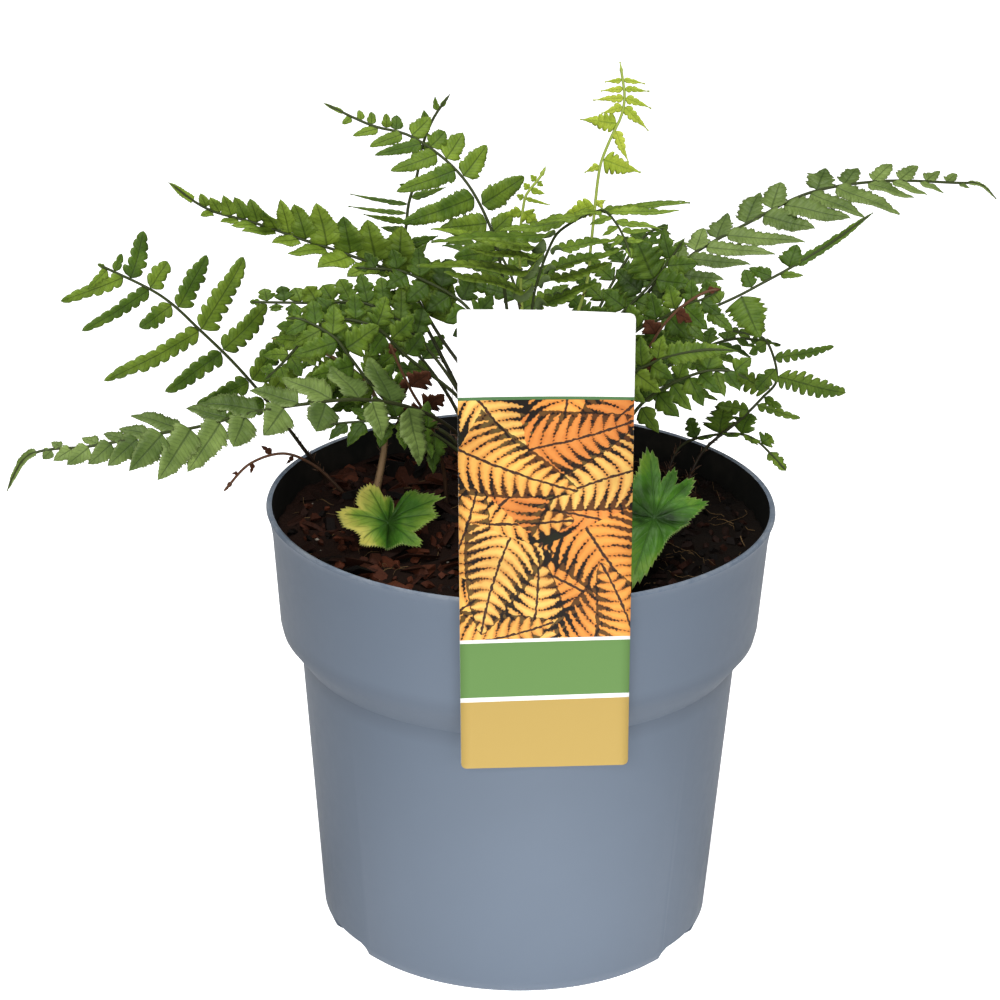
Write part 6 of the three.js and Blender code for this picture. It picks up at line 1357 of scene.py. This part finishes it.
def cut_leaf(name, node, centre, up, lobes, veins, crease, foot, green, yellow_side):
    """A young leaf: a blade of spokes round a centre, creased along one line, and its stipe."""
    normal = Vector(up).normalized()
    top = Vector((0, 0.5, 1))
    upright = (top - normal * top.dot(normal)).normalized()
    right = upright.cross(normal)
    middle = Vector(centre) * MM
    shape = bmesh.new()
    layers = {layer: shape.verts.layers.float.new(layer) for layer in ("across", "lobe", "tint")}
    draws = series(len(name) * 31)
    ripple = 6.28 * next(draws)
    verts = bmesh.ops.create_grid(
        shape, x_segments=YOUNG_LEAF_RINGS, y_segments=YOUNG_LEAF_SPOKES, size=1)["verts"]
    for vert in verts:
        share = (vert.co.x + 1) / 2
        spoke = round((vert.co.y + 1) / 2 * YOUNG_LEAF_SPOKES)
        degrees = 360 * spoke / YOUNG_LEAF_SPOKES
        tooth = 0.93 if spoke % 2 else 1.02
        radius = lobe_reach(lobes, degrees) * share * (tooth if share > 0.92 else 1)
        angle = math.radians(degrees)
        off_crease = abs(radius * math.sin(angle - math.radians(crease)))
        nearest = min(veins, key=lambda vein: abs((degrees - vein + 180) % 360 - 180))
        swing = (degrees - nearest + 180) % 360 - 180
        off_vein = radius * abs(math.sin(math.radians(swing)))
        valley = max(0, 1 - off_crease / CREASE_REACH)
        pleat = max(0, 1 - off_vein / PLEAT_REACH) * min(1, radius / PLEAT_REACH)
        arch = -0.003 * (radius / MM) ** 2 * MM - CREASE_DEPTH * valley ** 1.5 - PLEAT_DEPTH * pleat
        arch += 0.4 * MM * share * math.sin(ripple + 7 * angle + 6 * share)
        spoke_way = right * radius * math.cos(angle) + upright * radius * math.sin(angle)
        vert.co = middle + spoke_way + normal * arch
        # The crease and the main veins take the dark vein colour; along the crease it is painted shade in the
        # fold
        vert[layers["across"]] = max(min(0.7, off_crease / VEIN_REACH, off_vein / VEIN_REACH), 7 * share - 6)
        vert[layers["lobe"]] = (radius - 1.3 * off_vein) / SIDE_VEIN_SPACING
        beside = math.cos(angle - math.radians(crease + 90)) * share
        yellowing = yellow_side * (0.2 + 0.8 * share) * (1 if beside > 0 else 0.08) * abs(beside) ** 0.4
        # The tint drops along the crease: painted shade in the fold
        vert[layers["tint"]] = green + 0.2 * share ** 3 - 0.22 * valley + yellowing
    bmesh.ops.remove_doubles(shape, verts=verts, dist=1e-7)
    blade = make_piece(name, shape, LEAF_BLADE_SURFACES, "young_leaf", node)
    thicken(blade, 1.3 * LEAF_THICKNESS, offset=0, material_offset=1)
    under = Vector(centre) - normal * 3.6
    stipe_route = Spine([
        tuple(foot), tuple(Vector(foot).lerp(Vector(centre), 0.2) + Vector((0, 0, 7))), tuple(under)])
    stipe_shape = bmesh.new()
    stipe_along = stipe_shape.verts.layers.float.new("along")
    stem = grow_stem(
        stipe_shape, lambda along: stipe_route.point_at(along) - Vector((0, 0, 6 * MM * (1 - along) ** 4)),
        lambda _: Vector((1, 0, 0)), lambda along: Vector((1, 0, 0)).cross(stipe_route.tangent_at(along)),
        lambda _: YOUNG_STIPE_RADIUS, 16, 8)
    for vert in stem:
        vert[stipe_along] = 0.6
    make_piece(name + "_stipe", stipe_shape, [LEAF_KINDS["young"][3]], "young_leaf")


LEAF_BLADE_SURFACES = [
    leaf_material(
        "fresh_blade", {
            0: (0.008, 0.025, 0.003), 0.3: (0.045, 0.13, 0.012), 0.65: (0.17, 0.27, 0.03),
            1: (0.48, 0.44, 0.09)},
        (0.02, 0.06, 0.008), (0.36, 0.4, 0.16), 0.4, 0.6),
    LEAF_KINDS["leaf"][2]]
# The lobes' corners are given as (direction in degrees, reach in mm), and the veins as directions.
cut_leaf(
    "yellow_and_green_leaf", "young_leaf_left", (-49, -26, 172), (-0.1, -0.6, 0.8),
    [(8, 19), (16, 18), (25, 18), (28, 23), (38, 19.4), (45, 16), (55, 16.7), (65, 14), (68, 9), (71, 4),
     (79, 8), (91, 12), (104, 11), (107, 15), (117, 18.7), (129, 18), (142, 15.7), (152, 14), (157, 11.5),
     (160, 17), (168, 20), (179, 18), (192, 16.7), (202, 13.3), (214, 12), (226, 14), (243, 13.4),
     (263, 10.5), (275, 11), (302, 13), (321, 17), (328, 16), (333, 11.3), (350, 14)],
    (10, 30, 56, 90, 120, 170, 222, 270, 318, 345), 90, (-43, 0, 161), 0.28, 0.85)
cut_leaf(
    "green_cut_leaf", "young_leaf_right", (48.5, -42, 182), (0.1, -0.6, 0.8),
    [(10, 18), (19, 22), (25, 19), (33, 15), (40, 19.6), (46, 23.4), (51, 22), (54, 18), (57, 15), (61, 20),
     (67, 24), (73, 20), (78, 15), (82, 22), (86, 28), (92, 30), (98, 26), (105, 20), (119, 16.7), (150, 17),
     (166, 13), (184, 15), (200, 11), (216, 15), (230, 20), (243, 28), (252, 31), (258, 27), (263, 22),
     (269, 17.7), (283, 12.5), (295, 10.8), (320, 10.2), (337, 10.6), (350, 13), (356, 13.4)],
    (18, 46, 68, 90, 140, 184, 215, 250, 285, 330), 170, (42, -26, 161), 0.16, 0.05)


# The plant label: a tall printed plastic card that hangs outside the pot by a strap over its lip. Its
# face is a pattern of feathery golden sprays between plain white, green and ochre fields.
CARD_WIDTH = 60 * MM
CARD_HEIGHT = 180.6 * MM
CARD_THICKNESS = 0.7 * MM
CARD_CORNER = 2 * MM
CARD_FOOT_HEIGHT = 102.3 * MM
CARD_LEAN = math.radians(6.2)
CARD_AZIMUTH = math.radians(5.1)
CARD_SKEW = math.radians(1.5)
CARD_TWIST = math.radians(6.5)
CARD_HOLLOW = 1.6 * MM
STRAP_WIDTH = 14 * MM


def card_place(across, along, depth):
    """A place on the card, from the middle of its width, its foot and its printed face."""
    hollow = CARD_HOLLOW * (2 * across / CARD_WIDTH) ** 2 * (along / CARD_HEIGHT) ** 2
    twist = -CARD_TWIST * along / CARD_HEIGHT
    rim_along = (POT_HEIGHT - CARD_FOOT_HEIGHT) / math.cos(CARD_LEAN)
    out = LIP_RADIUS + GAP + 0.5 * MM + (along - rim_along) * math.sin(CARD_LEAN)
    place = Vector((
        across * math.cos(twist) - (along - rim_along) * math.sin(CARD_SKEW),
        -out - depth - hollow + across * math.sin(twist), CARD_FOOT_HEIGHT + along * math.cos(CARD_LEAN)))
    return Matrix.Rotation(CARD_AZIMUTH, 3, "Z") @ place


card_shape = bmesh.new()
card_layers = [card_shape.verts.layers.float.new(name) for name in ("card_across", "card_along")]
card_verts = bmesh.ops.create_grid(card_shape, x_segments=16, y_segments=72, size=1)["verts"]
for vert in card_verts:
    spread = math.sin(vert.co.y * math.pi / 2)
    along = CARD_HEIGHT * (spread + 1) / 2
    from_end = min(along, CARD_HEIGHT - along)
    inset = 0
    if from_end < CARD_CORNER:
        inset = CARD_CORNER - math.sqrt(max(0, CARD_CORNER ** 2 - (CARD_CORNER - from_end) ** 2))
    across = vert.co.x * (CARD_WIDTH / 2 - inset)
    vert[card_layers[0]] = across
    vert[card_layers[1]] = along
    vert.co = card_place(across, along, 0)


def spray_group():
    """One printed spray over what lies below it: a rib, curved leaflets with notched edges, a soft shade."""
    group = bpy.data.node_groups.new("printed_spray", "ShaderNodeTree")
    for name, kind in (("Below", "Color"), ("Colour", "Color"), ("Place", "Vector"), ("Width", "Float"),
                       ("Leaflets", "Float")):
        group.interface.new_socket(name, in_out="INPUT", socket_type="NodeSocket" + kind)
    group.interface.new_socket("Colour", in_out="OUTPUT", socket_type="NodeSocketColor")
    entry = group.nodes.new("NodeGroupInput")

    def calculate(operation, first, second=0.0, third=0.0, clamp=False):
        return compute(group, operation, first, second, third, clamp)

    def blend_colours(share, under, over):
        return mix_colours(group, share, under, over)
    split = add_node(group, "ShaderNodeSeparateXYZ", {"Vector": entry.outputs["Place"]})
    bow = calculate("MULTIPLY", calculate("MULTIPLY", split.outputs["X"], split.outputs["X"]), 0.12)
    along, across = split.outputs["X"], calculate("ABSOLUTE", calculate("SUBTRACT", split.outputs["Y"], bow))
    inside = calculate("MULTIPLY", calculate("GREATER_THAN", along, 0.0), calculate("LESS_THAN", along, 1.0))
    body = calculate("POWER", calculate("SUBTRACT", 1.0, along, clamp=True), 0.7)
    reach = calculate("MULTIPLY", body, entry.outputs["Width"])
    out = calculate("DIVIDE", across, calculate("MAXIMUM", reach, 0.001))
    swept = calculate("MULTIPLY", calculate("MULTIPLY", across, across), -1.6)
    leaning = calculate("ADD", calculate("MULTIPLY_ADD", across, -0.2, along), swept)
    phase = calculate("FRACT", calculate("MULTIPLY", leaning, entry.outputs["Leaflets"]))
    off = calculate("ABSOLUTE", calculate("SUBTRACT", phase, 0.5))
    notch = calculate("ABSOLUTE", calculate("SUBTRACT", calculate("FRACT", calculate(
        "MULTIPLY", out, 9.0)), 0.5))
    narrowing = calculate("MULTIPLY", calculate("POWER", out, 1.8), -0.4)
    room = calculate("MULTIPLY_ADD", notch, -0.26, calculate("ADD", narrowing, 0.55))
    leaflet = calculate("MULTIPLY", calculate("GREATER_THAN", room, off), calculate("LESS_THAN", out, 1.0))
    rib = calculate("MULTIPLY", calculate("LESS_THAN", across, 0.011), inside)
    mask = calculate("MULTIPLY", inside, leaflet)
    glow = calculate("MULTIPLY_ADD", off, -2.1, calculate("MULTIPLY_ADD", out, -0.6, 1.4), clamp=True)
    lit = blend_colours(glow, (0.5, 0.13, 0.02, 1), entry.outputs["Colour"])
    shade_room = calculate("LESS_THAN", out, 1.1)
    shade = calculate("MULTIPLY", calculate("MULTIPLY", inside, shade_room), 0.86)
    dimmed = blend_colours(shade, entry.outputs["Below"], (0.008, 0.004, 0.002, 1))
    shown = blend_colours(mask, dimmed, lit)
    shown = blend_colours(rib, shown, (0.05, 0.022, 0.012, 1))
    leave = group.nodes.new("NodeGroupOutput")
    group.links.new(shown, leave.inputs["Colour"])
    return group


# Each spray on the card: its foot across and along the card, its heading, length, width and leaflets
SPRAYS = (
    (-34, 62, 35, 44, 0.36, 10), (31, 60, 142, 46, 0.36, 11), (-6, 47, 78, 40, 0.38, 9),
    (35, 96, 160, 44, 0.38, 10), (-36, 100, -6, 46, 0.36, 11), (8, 151, -100, 38, 0.4, 9),
    (-27, 153, -58, 44, 0.36, 10), (34, 150, -138, 42, 0.38, 9), (-34, 80, 66, 38, 0.36, 9),
    (16, 50, 66, 44, 0.34, 11), (35, 122, 196, 42, 0.38, 9), (-16, 106, 44, 40, 0.38, 9),
    (-34, 50, 8, 38, 0.38, 9), (14, 98, -62, 46, 0.38, 10), (-12, 94, -112, 40, 0.38, 9),
    (-6, 128, 12, 40, 0.36, 9), (-30, 128, -28, 44, 0.36, 10), (33, 48, 104, 38, 0.38, 9))
SPRAY_GOLD = ((0.74, 0.4, 0.09, 1), (0.7, 0.3, 0.06, 1), (0.72, 0.46, 0.12, 1), (0.64, 0.23, 0.05, 1))
PRINT_SLANT = 0.023
PRINT_RAGGED = 1.5 * MM
# The height in mm where each field of the card ends, and its colour; None stands for the picture
BAND_TOPS = (
    (28.05, (0.4, 0.276, 0.076)), (29.85, (0.75, 0.75, 0.73)), (52.0, (0.107, 0.212, 0.059)),
    (53.4, (0.75, 0.75, 0.73)), (147.3, None), (148.5, (0.07, 0.16, 0.06)), (200, (0.93, 0.93, 0.93)))

card_material, card_tree, card_shader = new_material("printed_card")
card_across = add_node(card_tree, "ShaderNodeAttribute", attribute_name="card_across").outputs["Fac"]
card_along = add_node(card_tree, "ShaderNodeAttribute", attribute_name="card_along").outputs["Fac"]
print_place = add_node(card_tree, "ShaderNodeCombineXYZ", {"X": card_across, "Y": card_along}).outputs[0]
printed = mix_colours(
    card_tree, noise_on(card_tree, print_place, 90.0, 3.0), (0.003, 0.002, 0.001, 1),
    (0.016, 0.02, 0.006, 1))
print_noise = add_node(card_tree, "ShaderNodeTexNoise", {
    "Vector": print_place, "Scale": 650.0, "Detail": 2.0}).outputs["Color"]
print_wobble = add_node(card_tree, "ShaderNodeVectorMath", {
    0: print_noise, 1: (0.5, 0.5, 0.5)}, operation="SUBTRACT").outputs[0]
print_ragged = add_node(card_tree, "ShaderNodeVectorMath", {
    0: print_wobble, 1: (PRINT_RAGGED, PRINT_RAGGED, 0), 2: print_place}, operation="MULTIPLY_ADD").outputs[0]
spray_print = spray_group()
for index, (spray_x, spray_y, heading, length, width, leaflets) in enumerate(SPRAYS):
    spray_place = add_node(card_tree, "ShaderNodeMapping", {
        "Vector": print_ragged, "Location": (spray_x * MM, spray_y * MM, 0),
        "Rotation": (0, 0, math.radians(heading)), "Scale": (length * MM,) * 3}, vector_type="TEXTURE")
    printed = add_node(card_tree, "ShaderNodeGroup", {
        "Colour": SPRAY_GOLD[index % len(SPRAY_GOLD)], "Width": width, "Leaflets": leaflets,
        "Below": printed, "Place": spray_place.outputs[0]}, node_tree=spray_print).outputs["Colour"]
picture_gain = mix_colours(
    card_tree, noise_on(card_tree, print_place, 55.0), (0.55, 0.4, 0.36, 1), (1.35, 1.5, 1.5, 1))
printed = mix_colours(card_tree, 1.0, printed, picture_gain, "MULTIPLY")
band_height = compute(card_tree, "MULTIPLY_ADD", card_across, -PRINT_SLANT, card_along)
card_colour = None
for top, colour in reversed(BAND_TOPS):
    band = printed if colour is None else (*colour, 1)
    if card_colour is None:
        card_colour = band
        continue
    below_top = compute(card_tree, "LESS_THAN", band_height, top * MM)
    card_colour = mix_colours(card_tree, below_top, card_colour, band)
card_tree.links.new(card_colour, card_shader.inputs["Base Color"])
card_shader.inputs["Specular IOR Level"].default_value = 0.15
add_bump(card_tree, card_shader, add_sheen(card_tree, card_shader, 60, 0.32, 0.1), 0.05, 0.2 * MM)

plain_material, plain_tree, plain_shader = new_material("unprinted_card")
plain_cloud = noise_on(plain_tree, object_place(plain_tree), 40.0, 4.0)
plain_tree.links.new(
    mix_colours(plain_tree, plain_cloud, (0.82, 0.82, 0.8, 1), (0.9, 0.9, 0.88, 1)),
    plain_shader.inputs["Base Color"])
plain_shader.inputs["Roughness"].default_value = 0.4

card = make_piece("printed_card", card_shape, [card_material, plain_material], "label", "plant_label")
thicken(card, CARD_THICKNESS, offset=-1, material_offset=1, material_offset_rim=1)

# The strap: a narrow tongue of the same plastic, from behind the card over the lip and down inside the pot
strap_over = POT_HEIGHT + 1.2 * MM
strap_front = card_place(0, (strap_over - CARD_FOOT_HEIGHT) / math.cos(CARD_LEAN), 0).length_squared
strap_front = -math.sqrt(strap_front - strap_over ** 2)
strap_inside = -(LIP_RADIUS - LIP_WIDTH - 1.6 * MM)
strap_route = [
    (strap_front + 0.9 * MM, strap_over + 8.5 * MM), (strap_front + 0.9 * MM, strap_over + 1.4 * MM),
    (strap_front + 1.4 * MM, strap_over + 0.6 * MM), (strap_inside - 0.6 * MM, strap_over + 0.2 * MM),
    (strap_inside + 0.1 * MM, strap_over - 0.8 * MM), (strap_inside + 1.9 * MM, SOIL_EDGE_HEIGHT + 2.5 * MM)]
strap_shape = bmesh.new()
strap_line = [
    strap_shape.verts.new((-STRAP_WIDTH / 2, depth, height)) for depth, height in strap_route]
strap_edges = [strap_shape.edges.new(pair) for pair in zip(strap_line, strap_line[1:])]
strap_strip = bmesh.ops.extrude_edge_only(strap_shape, edges=strap_edges)["geom"]
strap_far = [item for item in strap_strip if isinstance(item, bmesh.types.BMVert)]
bmesh.ops.translate(strap_shape, verts=strap_far, vec=(STRAP_WIDTH, 0, 0))
bmesh.ops.rotate(
    strap_shape, verts=strap_shape.verts, cent=(0, 0, 0), matrix=Matrix.Rotation(CARD_AZIMUTH, 3, "Z"))
bmesh.ops.recalc_face_normals(strap_shape, faces=strap_shape.faces)
strap = make_piece("card_strap", strap_shape, [plain_material], "label")
thicken(strap, CARD_THICKNESS, offset=0)
